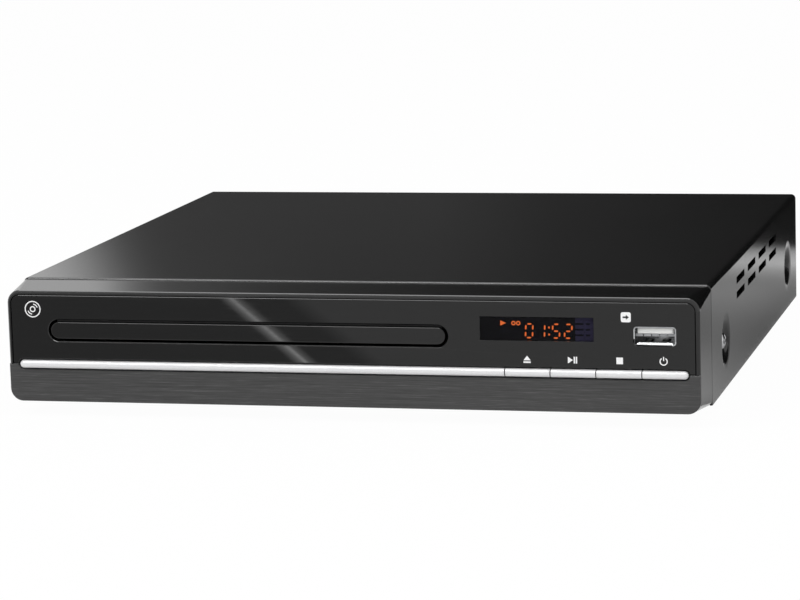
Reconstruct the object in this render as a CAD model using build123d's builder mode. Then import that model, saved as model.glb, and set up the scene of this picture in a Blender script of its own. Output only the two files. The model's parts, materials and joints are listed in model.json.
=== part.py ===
from build123d import *
import math
import os

# A compact front-loading disc player, built as an assembly of separate pieces.
# Frame: +X to the right seen from the front, +Y to the back, +Z up, millimetres.
# The origin is under the middle of the player, on the surface that it stands on.

os.makedirs("parts", exist_ok=True)

# Cabinet
cover_height = 37.95
foot_height = 4.0
sheet = 0.8
fold_radius = 1.6
hem_round = 0.7
lip_height = 7.0
seam_gap = 0.2
fit_gap = 0.15
slip = 0.3
overrun = 2.0
quarter_turn = 90.0

# Cover vents and the dishes pressed in its sides, of which the front ones take screws on a wider floor
vent_length = 17.9
vent_height = 2.3
vent_corner = 0.3
vent_pitch = 25.75
vent_row_pitch = 4.85
vent_columns = 4
vent_rows = 2
vent_depth = 119.75
vent_rise = 28.0
dish_radius = 9.2
dish_floor_radii = (3.2, 0.6)
dish_sink = 2.4
dish_front_depth = 48.0
dish_rear_inset = 24.0
dish_rise = 15.05

# Screws
screw_radius = 1.45
screw_hole_radius = 1.7
screw_head_radius = 2.8
screw_head_height = 1.7
screw_head_rim = 0.8
screw_head_taper = 45.0
screw_length = 5.5
cross_length = 3.2
cross_width = 0.8
cross_sink = 0.9
lip_screw_inset = 17.5

# Base pan, rear panel and feet
pan_flange = 6.0
front_flange = 8.0
tab_width = 18.0
tab_rise = 6.0
standoff_radius = 3.2
board_rise = 5.2
lug_rise = 4.2
foot_radius = 9.0
foot_taper = 0.8
foot_peg_radius = 2.0
foot_inset = 26.0
foot_front_depth = 43.0
foot_rear_inset = 30.0
rear_flange = 4.0
pan_vent_columns = 7
pan_vent_pitch = 7.5
pan_vent_length = 42.0
pan_vent_width = 3.0

# Front bezel
bezel_depth = 17.9
front_draft = 0.75
front_rise = 0.8
front_drop = 1.25
cover_proud = 0.45
corner_top = 4.2
corner_bottom = 4.1
edge_bevel = 0.5
edge_roll = 0.2
edge_run = 0.4
rim = 1.2
bezel_wall = 2.7
shell_wall = 2.2
boss_radius = 2.6
boss_rise = 4.4
boss_inset = 29.75
bore_sink = 6.5

# Fascias
fascia_thick = 1.5
plate_thick = 1.2
fascia_edge = 0.25
split_rise = 12.1

# Trim strip and keys
strip_inset = 3.65
strip_height = 2.55
strip_gap = 0.43
strip_sink = 1.8
strip_proud = 0.9
strip_round = 1.2
key_pitch = 14.3
key_gap = 0.4
key_travel = 0.6
stem_width = 6.0
stem_height = 1.9
collar_width = 8.6
collar_height = 4.0
collar_thick = 0.9
key_names = ("eject", "play", "stop", "power")

# Front board and what sits on it
board_thick = 1.6
front_board_depth = 14.0
front_board_margin = 7.75
front_board_inset = 4.2
front_board_low = 8.6
front_board_high = 3.0
pillar_radius = 2.4
pillar_inset = 3.2
switch_size = 6.0
switch_thick = 3.5
plunger_radius = 1.7
plunger_proud = 1.5
plunger_root = 1.0
window_gap = 10.25
window_rise = 25.85
window_width = 35.7
window_height = 7.5
module_margin = 1.4
usb_pitch = 13.4
usb_inset = 13.85
usb_rise = 24.1
usb_width = 13.4
usb_height = 6.2
usb_corner = 1.2
usb_wall = 0.4
usb_gap = 0.12
tongue_width = 11.1
tongue_thick = 1.84
tongue_drop = 0.2
tongue_edge = 0.3
tongue_sink = 1.2
usb_floor = 2.0
eye_gap = 5.55
eye_rise = 30.0
eye_width = 5.4
eye_height = 4.6
eye_thick = 5.0
eye_hole_radius = 1.8

# Tray slot, door and tray
slot_inset = 13.75
slot_height = 7.0
slot_rise = 23.15
door_gap = 0.85
door_thick = 2.4
door_bevel = 0.25
tray_side = 2.4
door_lap = 2.3
tray_rim_rise = 3.05
disc_radius = 60.0
disc_play = 0.8
small_disc_radius = 41.0
disc_step = 2.0
small_disc_step = 0.7
tray_skin = 1.3
disc_front_room = 13.2
tray_tail = 37.2
tray_window_radius = 21.0
tray_travel = 130.0
finger_radius = 11.0

# Gears
pressure_angle = 20.0
addendum_share = 0.8
dedendum_share = 1.05
backlash_share = 0.14
rack_module = 1.0
rack_drop = 2.2
rack_body = 2.0
rack_gap = 0.6
rack_lead_share = 1.5
rack_pinion_teeth = 20
wheel_module = 0.8
wheel_teeth = 36
drive_pinion_teeth = 12
gear_depth = 36.5
rack_pinion_face = 3.4
wheel_face = 2.8
gear_post_radius = 2.0
gear_fit = 0.08
gear_shoulder = 1.4

# Loading motor, pulleys and belt
pulley_radius = 12.6
pulley_face = 3.2
motor_pulley_radius = 3.6
groove_sink = 1.3
belt_size = 1.2
belt_gap = 0.1
belt_side_gap = 0.25
motor_offset = 18.5
motor_depth = 33.5
motor_radius = 10.5
motor_height = 10.0
motor_flange_radius = 12.4
motor_flange = 0.6
motor_shaft_radius = 1.0

# Loader frame
frame_front_depth = 21.0
frame_tail = 8.0
loader_gap = 4.5
frame_wall = 2.2
tray_clear = 0.5
ledge_width = 2.1
ledge_thick = 1.8
guide_gap = 1.4
guide_length = 10.0
deck_thick = 2.0
deck_back_depth = 53.0
deck_gap = 5.0
cross_member = 10.0
cross_member_height = 15.0
lug_size = 9.0
lug_thick = 2.5
lug_front_depth = 30.0
lug_rear_inset = 12.0

# Clamp bridge and clamper
bridge_thick = 1.0
bridge_length = 46.0
bridge_hole_radius = 17.0
puck_radius = 15.5
puck_flange_radius = 20.0
puck_flange = 1.3
puck_drop = 1.0
puck_height = 5.5
puck_recess_radius = 9.0
puck_recess = 2.4
magnet_radius = 8.0
magnet_thick = 2.0

# Traverse
traverse_rise = 10.2
traverse_thick = 2.5
traverse_half_width = 48.0
traverse_ahead = 16.0
traverse_behind = 90.0
pivot_behind = 86.0
pivot_radius = 2.0
pivot_fit = 0.1
bush_wall = 1.8
ear_thick = 5.0
ear_gap = 1.2
ear_reach = 7.0
tilt_angle = 4.0
sled_window_half = 25.0
sled_window_start = 15.5
sled_window_end = 80.0

# Spindle motor and turntable
spindle_radius = 12.0
spindle_flange_radius = 14.0
spindle_flange = 1.2
spindle_above = 4.6
spindle_below = 2.6
spindle_shaft_radius = 1.0
table_radius = 15.0
table_lift = 0.6
table_thick = 2.4
hub_radius = 7.3
hub_height = 1.9
hub_taper = 0.9
collar_radius = 3.4

# Pickup sled
rod_radius = 1.5
rod_fit = 0.08
rod_x = 29.0
rod_rise = 3.2
rod_start = 12.5
rod_end = 86.0
rod_block = 6.0
rod_block_length = 3.0
lens_start = 24.0
sled_travel = 34.0
pickup_half_width = 33.0
pickup_front = 7.5
pickup_back = 21.0
pickup_height = 7.0
pickup_keel_half = 20.0
pickup_keel = 3.5
lens_drop = 1.7
lens_radius = 2.2
lens_thick = 1.2
lens_ring_radius = 6.0
lens_seat = 0.5
sled_rack_module = 0.6
sled_rack_teeth = 16
sled_wheel_module = 0.5
sled_wheel_teeth = 28
sled_pinion_teeth = 12
sled_rack_body = 2.4
sled_rack_face = 2.2
sled_gear_back = 19.5
sled_wheel_face = 1.8
sled_gear_post_radius = 1.0
sled_motor_radius = 7.0
sled_motor_height = 6.0

# Lift cam
cam_thick = 2.4
cam_slant = 36.0
cam_flange = 5.6
cam_flange_thick = 1.8
cam_low = 6.8
cam_high = 3.4
cam_side = 7.0
pin_offset = 25.0
pin_radius = 1.5
pin_slot_gap = 0.3
cam_post_radius = 1.3
cam_post_head = 2.4
cam_post_spread = 17.0

# Main board, power board and their parts
board_side_gap = 5.5
board_between = 5.5
main_board_length = 32.7
main_board_left_gap = 8.5
power_board_width = 61.5
power_board_length = 155.2
board_back_gap = 3.0
hole_inset = 4.5
chip_inset = 32.0
chip_size = 20.0
chip_thick = 1.6
chip_back = 21.2
small_cap_radius = 3.2
small_cap_height = 9.0
small_cap_inset = 66.0
small_cap_pitch = 9.0
small_cap_count = 4
small_cap_back = 28.2
core_inset = 29.0
core_back = 89.2
core_width = 24.0
core_length = 20.0
core_height = 19.0
bobbin_margin = 3.0
bobbin_height = 13.0
big_cap_radius = 8.0
big_cap_height = 22.0
cap_inset = 47.0
cap_back = 45.2
out_cap_radius = 4.5
out_cap_height = 14.0
out_cap_back = 133.2
out_cap_pitch = 12.0
sink_inset = 11.0
sink_back = 125.2
sink_length = 34.0
sink_thick = 2.0
sink_height = 22.0
sink_fins = 4
sink_fin_pitch = 9.0
sink_fin = 6.0

# Rear sockets
jack_proud = 8.5
jack_inset = 40.0
jack_pitch = 14.0
jack_count = 4
jack_radius = 4.15
jack_wall = 0.8
jack_bore_radius = 1.6
jack_bore = 7.0
jack_rise = 7.5
jack_hole_gap = 0.6
jack_nose_sink = 0.5
jack_block_depth = 11.0
jack_block_height = 13.5
hdmi_offset = 37.5
hdmi_width = 15.0
hdmi_height = 5.9
hdmi_depth = 11.5
hdmi_wall = 0.45
hdmi_corner = 1.4
hdmi_tongue_width = 11.4
hdmi_tongue = 0.9
hdmi_tongue_sink = 1.0
scart_offset = 33.0
scart_width = 46.0
scart_height = 13.5
scart_depth = 17.0
scart_slant = 4.0
scart_slots = 10
scart_slot_pitch = 3.81
scart_slot_width = 1.1
scart_slot_height = 3.4
scart_row_pitch = 6.0
scart_slot_sink = 6.0
inlet_inset = 23.0
inlet_width = 21.0
inlet_height = 14.0
inlet_depth = 18.0
inlet_cavity_width = 15.4
inlet_cavity_height = 7.4
inlet_cavity = 13.0
inlet_pin_radius = 1.15
inlet_pin_pitch = 8.6
inlet_pin_length = 10.5
socket_gap = 0.3
socket_proud = 0.6

# Flat cables
cable_thick = 0.6
cable_bend = 2.0
front_cable_inset = 1.4
front_cable_width = 3.6
front_cable_rise = 16.0
loader_cable_width = 16.0
loader_cable_inset = 52.5
loader_cable_root = 6.0
front_cable_root = 14.0
plug_height = 4.0
plug_length = 4.0

# Levels and stations that follow from the sizes above
# The disc sets the tray, and the spindle stands clear of both the front and the gear deck
tray_width = 2 * (disc_radius + disc_play + tray_side)
slot_length = tray_width + 2 * door_lap
spindle_depth = max(disc_front_room + disc_radius + disc_play, deck_back_depth + deck_gap + traverse_ahead)
tray_back_depth = spindle_depth + disc_radius + disc_play + tray_tail
frame_back_depth = tray_back_depth + frame_tail
# The case is as wide as the row along its front, and as deep as the loader and the board behind it
front_width = slot_inset + slot_length + window_gap + window_width + eye_gap + usb_pitch + usb_inset
cover_width = front_width + 2 * front_draft
body_depth = frame_back_depth + loader_gap + main_board_length + board_back_gap + 2 * sheet + seam_gap
depth_overall = strip_proud + body_depth + jack_proud
front_y = strip_proud - depth_overall / 2
back_y = front_y + body_depth
seam_y = front_y + bezel_depth
cover_front_y = seam_y + seam_gap
half_width = cover_width / 2
front_height = cover_height - front_rise - front_drop
front_half = front_width / 2
tray_x = slot_inset + slot_length / 2 - front_half
usb_x = front_half - usb_inset
eye_x = usb_x - usb_pitch
window_x = eye_x - eye_gap - window_width / 2
front_board_left = window_x - window_width / 2 - front_board_margin
base_z = foot_height
floor_z = base_z + sheet
top_z = base_z + cover_height
front_bottom_z = base_z + front_rise
front_top_z = front_bottom_z + front_height
front_mid_z = (front_bottom_z + front_top_z) / 2
split_z = front_bottom_z + split_rise
wall_back_y = front_y + fascia_thick + bezel_wall
slot_z = front_bottom_z + slot_rise
dish_z = base_z + dish_rise
dish_ys = (front_y + dish_front_depth, back_y - dish_rear_inset)
side_screw_y = dish_ys[0]
tab_x = half_width - dish_sink - sheet - fit_gap
pan_half = half_width - sheet - slip
rear_out_y = back_y - sheet - seam_gap
rear_in_y = rear_out_y - sheet
rear_top_z = top_z - sheet - slip
lip_screw_xs = (lip_screw_inset - half_width, 0, half_width - lip_screw_inset)
lip_screw_z = top_z - sheet - lip_height / 2
board_z = floor_z + board_rise
board_top_z = board_z + board_thick
board_back_y = rear_in_y - board_back_gap
power_board_right = half_width - board_side_gap
power_board_left = power_board_right - power_board_width
main_board_left = main_board_left_gap - half_width
main_board_right = power_board_left - board_between
main_board_front_y = board_back_y - main_board_length
power_board_front_y = board_back_y - power_board_length
core_x = power_board_right - core_inset
core_y = board_back_y - core_back
cap_x = power_board_right - cap_inset
sink_x = power_board_right - sink_inset
chip_x = main_board_left + chip_inset
chip_y = board_back_y - chip_back
jack_x = main_board_left + jack_inset
hdmi_x = jack_x + hdmi_offset
scart_x = hdmi_x + scart_offset
inlet_x = power_board_right - inlet_inset
lug_z = floor_z + lug_rise
boss_xs = (boss_inset - front_half, 0, front_half - boss_inset)
boss_z = floor_z + boss_rise
spindle_y = front_y + spindle_depth
tray_top_z = slot_z + tray_rim_rise
disc_z = tray_top_z - disc_step
small_disc_z = disc_z - small_disc_step
tray_under_z = small_disc_z - tray_skin
rack_low_z = tray_under_z - rack_drop
tray_front_y = front_y + door_thick
tray_back_y = front_y + tray_back_depth
bridge_z = tray_top_z + guide_gap


def save(builder, label):
    """Names a finished piece and writes it to its own file."""
    builder.part.label = label
    export_step(builder.part, f"parts/{label}.step")


def facing_front(y):
    """A plane seen from the front at station y: its x is +X, its y is +Z, and it faces the viewer."""
    return Plane((0, y, 0), x_dir=(1, 0, 0), z_dir=(0, -1, 0))


def block(x0, x1, y0, y1, z0, z1, mode=Mode.ADD):
    """A box between two corners."""
    with Locations(((x0 + x1) / 2, (y0 + y1) / 2, (z0 + z1) / 2)):
        Box(x1 - x0, y1 - y0, z1 - z0, mode=mode)


def post(x, y, z0, z1, radius, mode=Mode.ADD):
    """An upright cylinder."""
    with Locations((x, y, (z0 + z1) / 2)):
        Cylinder(radius, z1 - z0, mode=mode)


def bar_y(x, z, y0, y1, radius, mode=Mode.ADD):
    """A cylinder that runs from front to back."""
    with Locations((x, (y0 + y1) / 2, z)):
        Cylinder(radius, y1 - y0, rotation=(quarter_turn, 0, 0), mode=mode)


def bar_x(y, z, x0, x1, radius, mode=Mode.ADD):
    """A cylinder that runs from left to right."""
    with Locations(((x0 + x1) / 2, y, z)):
        Cylinder(radius, x1 - x0, rotation=(0, quarter_turn, 0), mode=mode)


def screw(seat):
    """A cross-head screw with a bevelled crown: the seat is the plane under its head, facing outwards."""
    with BuildSketch(seat) as head:
        Circle(screw_head_radius)
    extrude(head.sketch, amount=screw_head_rim)
    with BuildSketch(seat.offset(screw_head_rim)) as crown:
        Circle(screw_head_radius)
    extrude(crown.sketch, amount=screw_head_height - screw_head_rim, taper=screw_head_taper)
    with BuildSketch(seat) as shank:
        Circle(screw_radius)
    extrude(shank.sketch, amount=-screw_length)
    with BuildSketch(seat.offset(screw_head_height)) as cross:
        Rectangle(cross_length, cross_width)
        Rectangle(cross_width, cross_length)
    extrude(cross.sketch, amount=-cross_sink, mode=Mode.SUBTRACT)


def gear_points(module, teeth, phase):
    """Outline of a spur gear with involute flanks; phase is the direction of one tooth, in radians."""
    pitch_radius = module * teeth / 2
    slope = math.radians(pressure_angle)
    base_radius = pitch_radius * math.cos(slope)
    tip_radius = pitch_radius + addendum_share * module
    root_radius = pitch_radius - dedendum_share * module
    start_radius = max(base_radius, root_radius)
    half_tooth = math.pi / (2 * teeth) - backlash_share * module / (2 * pitch_radius)

    def half_angle(radius):
        lean = math.acos(min(base_radius / radius, math.cos(0)))
        return half_tooth + math.tan(slope) - slope - math.tan(lean) + lean

    flank = [(radius, half_angle(radius)) for radius in (start_radius, pitch_radius, tip_radius)]
    if root_radius < start_radius:
        flank.insert(0, (root_radius, half_angle(start_radius)))
    points = []
    for tooth in range(teeth):
        middle = phase + 2 * math.pi * tooth / teeth
        low_side = [(radius, middle - angle) for radius, angle in flank]
        high_side = [(radius, middle + angle) for radius, angle in reversed(flank)]
        for radius, angle in low_side + high_side:
            points.append((radius * math.cos(angle), radius * math.sin(angle)))
    return points


def gear(x, y, z0, z1, module, teeth, phase):
    """A spur gear on an upright axis."""
    with BuildSketch(Plane((x, y, z0))) as face:
        with BuildLine():
            Polyline(*gear_points(module, teeth, phase), close=True)
        make_face()
    extrude(face.sketch, amount=z1 - z0)


def mesh_phase(module, teeth_a, phase_a, teeth_b, direction):
    """Tooth direction of gear b that meshes with gear a, seen from a along the given direction."""
    arc = module * teeth_a / 2 * (phase_a - direction) + math.pi * module / 2
    return direction + math.pi - arc / (module * teeth_b / 2)


def rack(pitch_x, body, gap_y, y0, y1, z0, z1, module):
    """A rack along Y whose teeth face +X, with a gap between two teeth at gap_y."""
    pitch = math.pi * module
    lean = math.tan(math.radians(pressure_angle))
    root_x = pitch_x - dedendum_share * module
    tip_x = pitch_x + addendum_share * module
    half_pitch_line = pitch / 4 - backlash_share * module / 2
    half_root = half_pitch_line + dedendum_share * module * lean
    half_tip = half_pitch_line - addendum_share * module * lean
    points = [(root_x - body, y0), (root_x, y0)]
    middle = gap_y + pitch / 2 - pitch * math.floor((gap_y + pitch / 2 - half_root - y0) / pitch)
    while middle + half_root <= y1:
        points += [(root_x, middle - half_root), (tip_x, middle - half_tip)]
        points += [(tip_x, middle + half_tip), (root_x, middle + half_root)]
        middle += pitch
    points += [(root_x, y1), (root_x - body, y1)]
    with BuildSketch(Plane.XY.offset(z0)) as face:
        with BuildLine():
            Polyline(*points, close=True)
        make_face()
    extrude(face.sketch, amount=z1 - z0)


def front_outline(inset):
    """The rounded outline of the front, drawn smaller by inset, in a sketch that faces the front."""
    with Locations((0, front_mid_z)):
        Rectangle(front_width - 2 * inset, front_height - 2 * inset)
    fillet(vertices().group_by(Axis.Y)[-1], corner_top - inset)
    fillet(vertices().group_by(Axis.Y)[0], corner_bottom - inset)


# Top cover: a folded steel U with a rounded front hem, a rear lip, side vents and pressed dishes
with BuildPart() as top_cover:
    with BuildSketch(facing_front(cover_front_y)):
        with Locations((0, base_z + cover_height / 2)):
            Rectangle(cover_width, cover_height)
        fillet(vertices().group_by(Axis.Y)[-1], fold_radius)
    extrude(amount=cover_front_y - back_y)
    fillet(faces().sort_by(Axis.Y)[0].edges().sort_by(Axis.Z)[1:], hem_round)
    with BuildSketch(facing_front(cover_front_y)):
        with Locations((0, base_z + (cover_height - sheet) / 2)):
            Rectangle(cover_width - 2 * sheet, cover_height - sheet)
        fillet(vertices().group_by(Axis.Y)[-1], fold_radius - sheet)
    extrude(amount=cover_front_y - back_y, mode=Mode.SUBTRACT)
    block(-pan_half, pan_half, back_y - sheet, back_y, top_z - sheet - lip_height, top_z - sheet)
    with BuildSketch(Plane.YZ):
        with Locations((front_y + vent_depth, base_z + vent_rise)):
            with GridLocations(vent_pitch, vent_row_pitch, vent_columns, vent_rows):
                RectangleRounded(vent_length, vent_height, vent_corner)
    extrude(amount=half_width + overrun, both=True, mode=Mode.SUBTRACT)
    for y, floor_radius in zip(dish_ys, dish_floor_radii):
        dish_run = dish_radius - floor_radius
        dish_arc = (dish_run ** 2 + dish_sink ** 2) / (4 * dish_sink)
        dish_lean = math.atan2(dish_run / 2, dish_arc - dish_sink / 2) / 2
        bar_x(y, dish_z, -half_width - overrun, half_width + overrun, dish_radius, mode=Mode.SUBTRACT)
        for side in (-1, 1):
            outer = side * half_width
            sunk = side * (half_width - dish_sink)
            middle_x = side * (half_width - dish_sink / 2)
            middle_y = y + (dish_radius + floor_radius) / 2
            inward = side * sheet
            rim_bulge = (outer - side * dish_arc * (math.cos(0) - math.cos(dish_lean)),
                         y + dish_radius - dish_arc * math.sin(dish_lean))
            floor_bulge = (sunk + side * dish_arc * (math.cos(0) - math.cos(dish_lean)),
                           y + floor_radius + dish_arc * math.sin(dish_lean))
            with BuildSketch(Plane.XY.offset(dish_z)):
                with BuildLine():
                    Line((sunk, y), (sunk, y + floor_radius))
                    ThreePointArc((sunk, y + floor_radius), floor_bulge, (middle_x, middle_y))
                    ThreePointArc((middle_x, middle_y), rim_bulge, (outer, y + dish_radius))
                    Line((outer, y + dish_radius), (outer - inward, y + dish_radius))
                    ThreePointArc((outer - inward, y + dish_radius),
                                  (rim_bulge[0] - inward, rim_bulge[1]), (middle_x - inward, middle_y))
                    ThreePointArc((middle_x - inward, middle_y),
                                  (floor_bulge[0] - inward, floor_bulge[1]),
                                  (sunk - inward, y + floor_radius))
                    Line((sunk - inward, y + floor_radius), (sunk - inward, y))
                    Line((sunk - inward, y), (sunk, y))
                make_face()
            revolve(axis=Axis((0, y, dish_z), (1, 0, 0)))
    bar_x(side_screw_y, dish_z, -half_width - overrun, half_width + overrun, screw_hole_radius,
          mode=Mode.SUBTRACT)
    for x in lip_screw_xs:
        bar_y(x, lip_screw_z, back_y - sheet - overrun, back_y + overrun, screw_hole_radius,
              mode=Mode.SUBTRACT)
save(top_cover, "top_cover")

# Base pan: flat steel floor with folded edges, tabs behind the dishes and pressed standoffs
foot_spots = [(side * (half_width - foot_inset), y) for side in (-1, 1)
              for y in (front_y + foot_front_depth, back_y - foot_rear_inset)]
frame_half = tray_width / 2 + tray_clear + frame_wall
lug_spots = [(tray_x + side * (frame_half + lug_size / 2), front_y + depth)
             for side in (-1, 1) for depth in (lug_front_depth, frame_back_depth - lug_rear_inset)]
board_holes = [(x, y) for x in (main_board_left + hole_inset, main_board_right - hole_inset)
               for y in (main_board_front_y + hole_inset, board_back_y - hole_inset)]
board_holes += [(x, y) for x in (power_board_left + hole_inset, power_board_right - hole_inset)
                for y in (power_board_front_y + hole_inset, board_back_y - hole_inset)]
with BuildPart() as base_pan:
    block(-pan_half, pan_half, cover_front_y, rear_out_y, base_z, floor_z)
    block(-pan_half, pan_half, cover_front_y, cover_front_y + sheet, floor_z, floor_z + front_flange)
    for side in (-1, 1):
        edges_x = sorted((side * pan_half, side * (pan_half - sheet)))
        block(*edges_x, cover_front_y + sheet, rear_in_y, floor_z, floor_z + pan_flange)
        tab_xs = sorted((side * tab_x, side * (tab_x - sheet)))
        for y in dish_ys:
            block(*tab_xs, y - tab_width / 2, y + tab_width / 2, floor_z, dish_z + tab_rise)
    bar_x(side_screw_y, dish_z, -half_width, half_width, screw_radius + fit_gap, mode=Mode.SUBTRACT)
    for x, y in lug_spots:
        post(x, y, floor_z, lug_z, standoff_radius)
        post(x, y, base_z - overrun, lug_z + overrun, screw_radius + fit_gap, mode=Mode.SUBTRACT)
    for x, y in board_holes:
        post(x, y, floor_z, board_z, standoff_radius)
        post(x, y, base_z - overrun, board_z + overrun, screw_radius + fit_gap, mode=Mode.SUBTRACT)
    for x in boss_xs:
        bar_y(x, boss_z, cover_front_y - overrun, cover_front_y + sheet + overrun, screw_hole_radius,
              mode=Mode.SUBTRACT)
    for x, y in foot_spots:
        post(x, y, base_z - overrun, floor_z + overrun, foot_peg_radius + fit_gap, mode=Mode.SUBTRACT)
    with BuildSketch(Plane.XY.offset(base_z - overrun)):
        with Locations((core_x, core_y)):
            with GridLocations(pan_vent_pitch, pan_vent_length, pan_vent_columns, 1):
                SlotOverall(pan_vent_length, pan_vent_width, rotation=quarter_turn)
    extrude(amount=sheet + 2 * overrun, mode=Mode.SUBTRACT)
save(base_pan, "base_pan")

# Rubber feet with pegs that push into the pan
with BuildPart() as rubber_feet:
    for x, y in foot_spots:
        with Locations((x, y, foot_height / 2)):
            Cone(foot_radius - foot_taper, foot_radius, foot_height)
        post(x, y, foot_height, floor_z + sheet, foot_peg_radius)
save(rubber_feet, "rubber_feet")

# Rear panel: steel plate with a foot flange and the socket cut-outs
jack_xs = [jack_x + jack_pitch * (place - (jack_count - 1) / 2) for place in range(jack_count)]
jack_z = board_top_z + jack_rise
hdmi_z = board_top_z + hdmi_height / 2
scart_z = board_top_z + scart_height / 2
inlet_z = board_top_z + inlet_height / 2
with BuildPart() as rear_panel:
    block(-pan_half, pan_half, rear_in_y, rear_out_y, floor_z, rear_top_z)
    flange_half = pan_half - sheet - slip
    block(-flange_half, flange_half, rear_in_y - rear_flange, rear_in_y, floor_z, floor_z + sheet)
    for x in lip_screw_xs:
        bar_y(x, lip_screw_z, rear_in_y - overrun, rear_out_y + overrun, screw_radius + fit_gap,
              mode=Mode.SUBTRACT)
    for x in jack_xs:
        bar_y(x, jack_z, rear_in_y - overrun, rear_out_y + overrun, jack_radius + jack_hole_gap,
              mode=Mode.SUBTRACT)
    for x, z, width, height in ((hdmi_x, hdmi_z, hdmi_width, hdmi_height),
                                (scart_x, scart_z, scart_width, scart_height),
                                (inlet_x, inlet_z, inlet_width, inlet_height)):
        half_across = width / 2 + socket_gap
        half_up = height / 2 + socket_gap
        block(x - half_across, x + half_across, rear_in_y - overrun, rear_out_y + overrun,
              z - half_up, z + half_up, mode=Mode.SUBTRACT)
save(rear_panel, "rear_panel")

# Cover screws: one in each side's front dish and three through the rear lip
with BuildPart() as cover_screws:
    for side in (-1, 1):
        screw(Plane((side * (half_width - dish_sink), side_screw_y, dish_z), x_dir=(0, 1, 0),
                    z_dir=(side, 0, 0)))
    for x in lip_screw_xs:
        screw(Plane((x, back_y, lip_screw_z), x_dir=(1, 0, 0), z_dir=(0, 1, 0)))
save(cover_screws, "cover_screws")

# Front bezel: a tapering moulded box with a rim round the upper fascia
strip_length = front_width - 2 * strip_inset
key_right = strip_length / 2
key_left = key_right - key_pitch * len(key_names)
strip_back_y = front_y + strip_sink
key_floor_y = strip_back_y + key_travel + slip
key_xs = [key_left + key_pitch * (place + 1 / 2) for place in range(len(key_names))]
usb_z = front_bottom_z + usb_rise
window_z = front_bottom_z + window_rise
eye_z = front_bottom_z + eye_rise
front_board_y = front_y + front_board_depth
front_board_right = front_width / 2 - front_board_inset
front_board_low_z = front_bottom_z + front_board_low
front_board_high_z = front_top_z - front_board_high
pillar_spots = [(x, front_board_high_z - pillar_inset)
                for x in (front_board_left + pillar_inset, front_board_right - pillar_inset)]
pillar_spots += [(x, split_z) for x in (key_left, key_right - key_pitch)]
with BuildPart() as front_bezel:
    for inset, depth in ((edge_bevel + edge_roll, 0), (edge_roll, edge_bevel), (0, edge_bevel + edge_run)):
        with BuildSketch(facing_front(front_y + depth)):
            front_outline(inset)
    loft(ruled=True)
    with BuildSketch(facing_front(front_y + edge_bevel + edge_run)):
        front_outline(0)
    with BuildSketch(facing_front(seam_y)):
        with Locations((0, base_z + (cover_height - cover_proud) / 2)):
            RectangleRounded(cover_width, cover_height - cover_proud, fold_radius)
    loft(ruled=True)
    with BuildSketch(facing_front(wall_back_y)):
        with Locations((0, front_mid_z)):
            Rectangle(front_width - 2 * shell_wall, front_height - 2 * shell_wall)
    extrude(amount=wall_back_y - seam_y - overrun, mode=Mode.SUBTRACT)
    with BuildSketch(facing_front(front_y)):
        front_outline(rim)
        with Locations((0, split_z - front_height / 2)):
            Rectangle(front_width, front_height, mode=Mode.SUBTRACT)
    extrude(amount=-fascia_thick, mode=Mode.SUBTRACT)
    block(-half_width, half_width, front_y - overrun, front_y + plate_thick, base_z - overrun, split_z,
          mode=Mode.SUBTRACT)
    with BuildSketch(facing_front(front_y)):
        with Locations((0, split_z)):
            SlotOverall(strip_length + 2 * strip_gap, strip_height + 2 * strip_gap)
    extrude(amount=-strip_sink, mode=Mode.SUBTRACT)
    with BuildSketch(facing_front(front_y)):
        with Locations((0, split_z)):
            SlotOverall(strip_length + 2 * strip_gap, strip_height + 2 * strip_gap)
        with Locations((key_left - key_gap / 2 - front_width / 2, split_z)):
            Rectangle(front_width, front_height, mode=Mode.SUBTRACT)
    extrude(amount=front_y - key_floor_y, mode=Mode.SUBTRACT)
    for x in key_xs:
        half_across = stem_width / 2 + slip
        half_up = stem_height / 2 + slip
        block(x - half_across, x + half_across, front_y, wall_back_y + overrun, split_z - half_up,
              split_z + half_up, mode=Mode.SUBTRACT)
    with BuildSketch(facing_front(front_y)):
        with Locations((tray_x, slot_z)):
            SlotOverall(slot_length, slot_height)
        with Locations((window_x, window_z)):
            Rectangle(window_width + 2 * module_margin + 2 * slip,
                      window_height + 2 * module_margin + 2 * slip)
        with Locations((usb_x, usb_z)):
            RectangleRounded(usb_width, usb_height, usb_corner)
        with Locations((eye_x, eye_z)):
            Circle(eye_hole_radius)
    extrude(amount=front_y - wall_back_y - overrun, mode=Mode.SUBTRACT)
    for x in boss_xs:
        bar_y(x, boss_z, wall_back_y, seam_y, boss_radius)
        bar_y(x, boss_z, seam_y - bore_sink, seam_y + overrun, screw_radius + fit_gap, mode=Mode.SUBTRACT)
    for x, z in pillar_spots:
        bar_y(x, z, wall_back_y, front_board_y, pillar_radius)
        bar_y(x, z, front_board_y - bore_sink, front_board_y + overrun, screw_radius + fit_gap,
              mode=Mode.SUBTRACT)
save(front_bezel, "front_bezel")

# Upper fascia: gloss plate in the bezel's rim
with BuildPart() as upper_fascia:
    with BuildSketch(facing_front(front_y)):
        front_outline(rim + fit_gap)
        with Locations((0, split_z + fit_gap - front_height / 2)):
            Rectangle(front_width, front_height, mode=Mode.SUBTRACT)
        with Locations((0, split_z)):
            SlotOverall(strip_length + 2 * strip_gap, strip_height + 2 * strip_gap, mode=Mode.SUBTRACT)
        with Locations((tray_x, slot_z)):
            SlotOverall(slot_length, slot_height, mode=Mode.SUBTRACT)
    extrude(amount=-fascia_thick)
    chamfer(faces().sort_by(Axis.Y)[0].edges(), fascia_edge)
    with BuildSketch(facing_front(front_y)):
        with Locations((window_x, window_z)):
            Rectangle(window_width, window_height)
        with Locations((usb_x, usb_z)):
            RectangleRounded(usb_width, usb_height, usb_corner)
    extrude(amount=-fascia_thick, mode=Mode.SUBTRACT)
save(upper_fascia, "upper_fascia")

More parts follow.
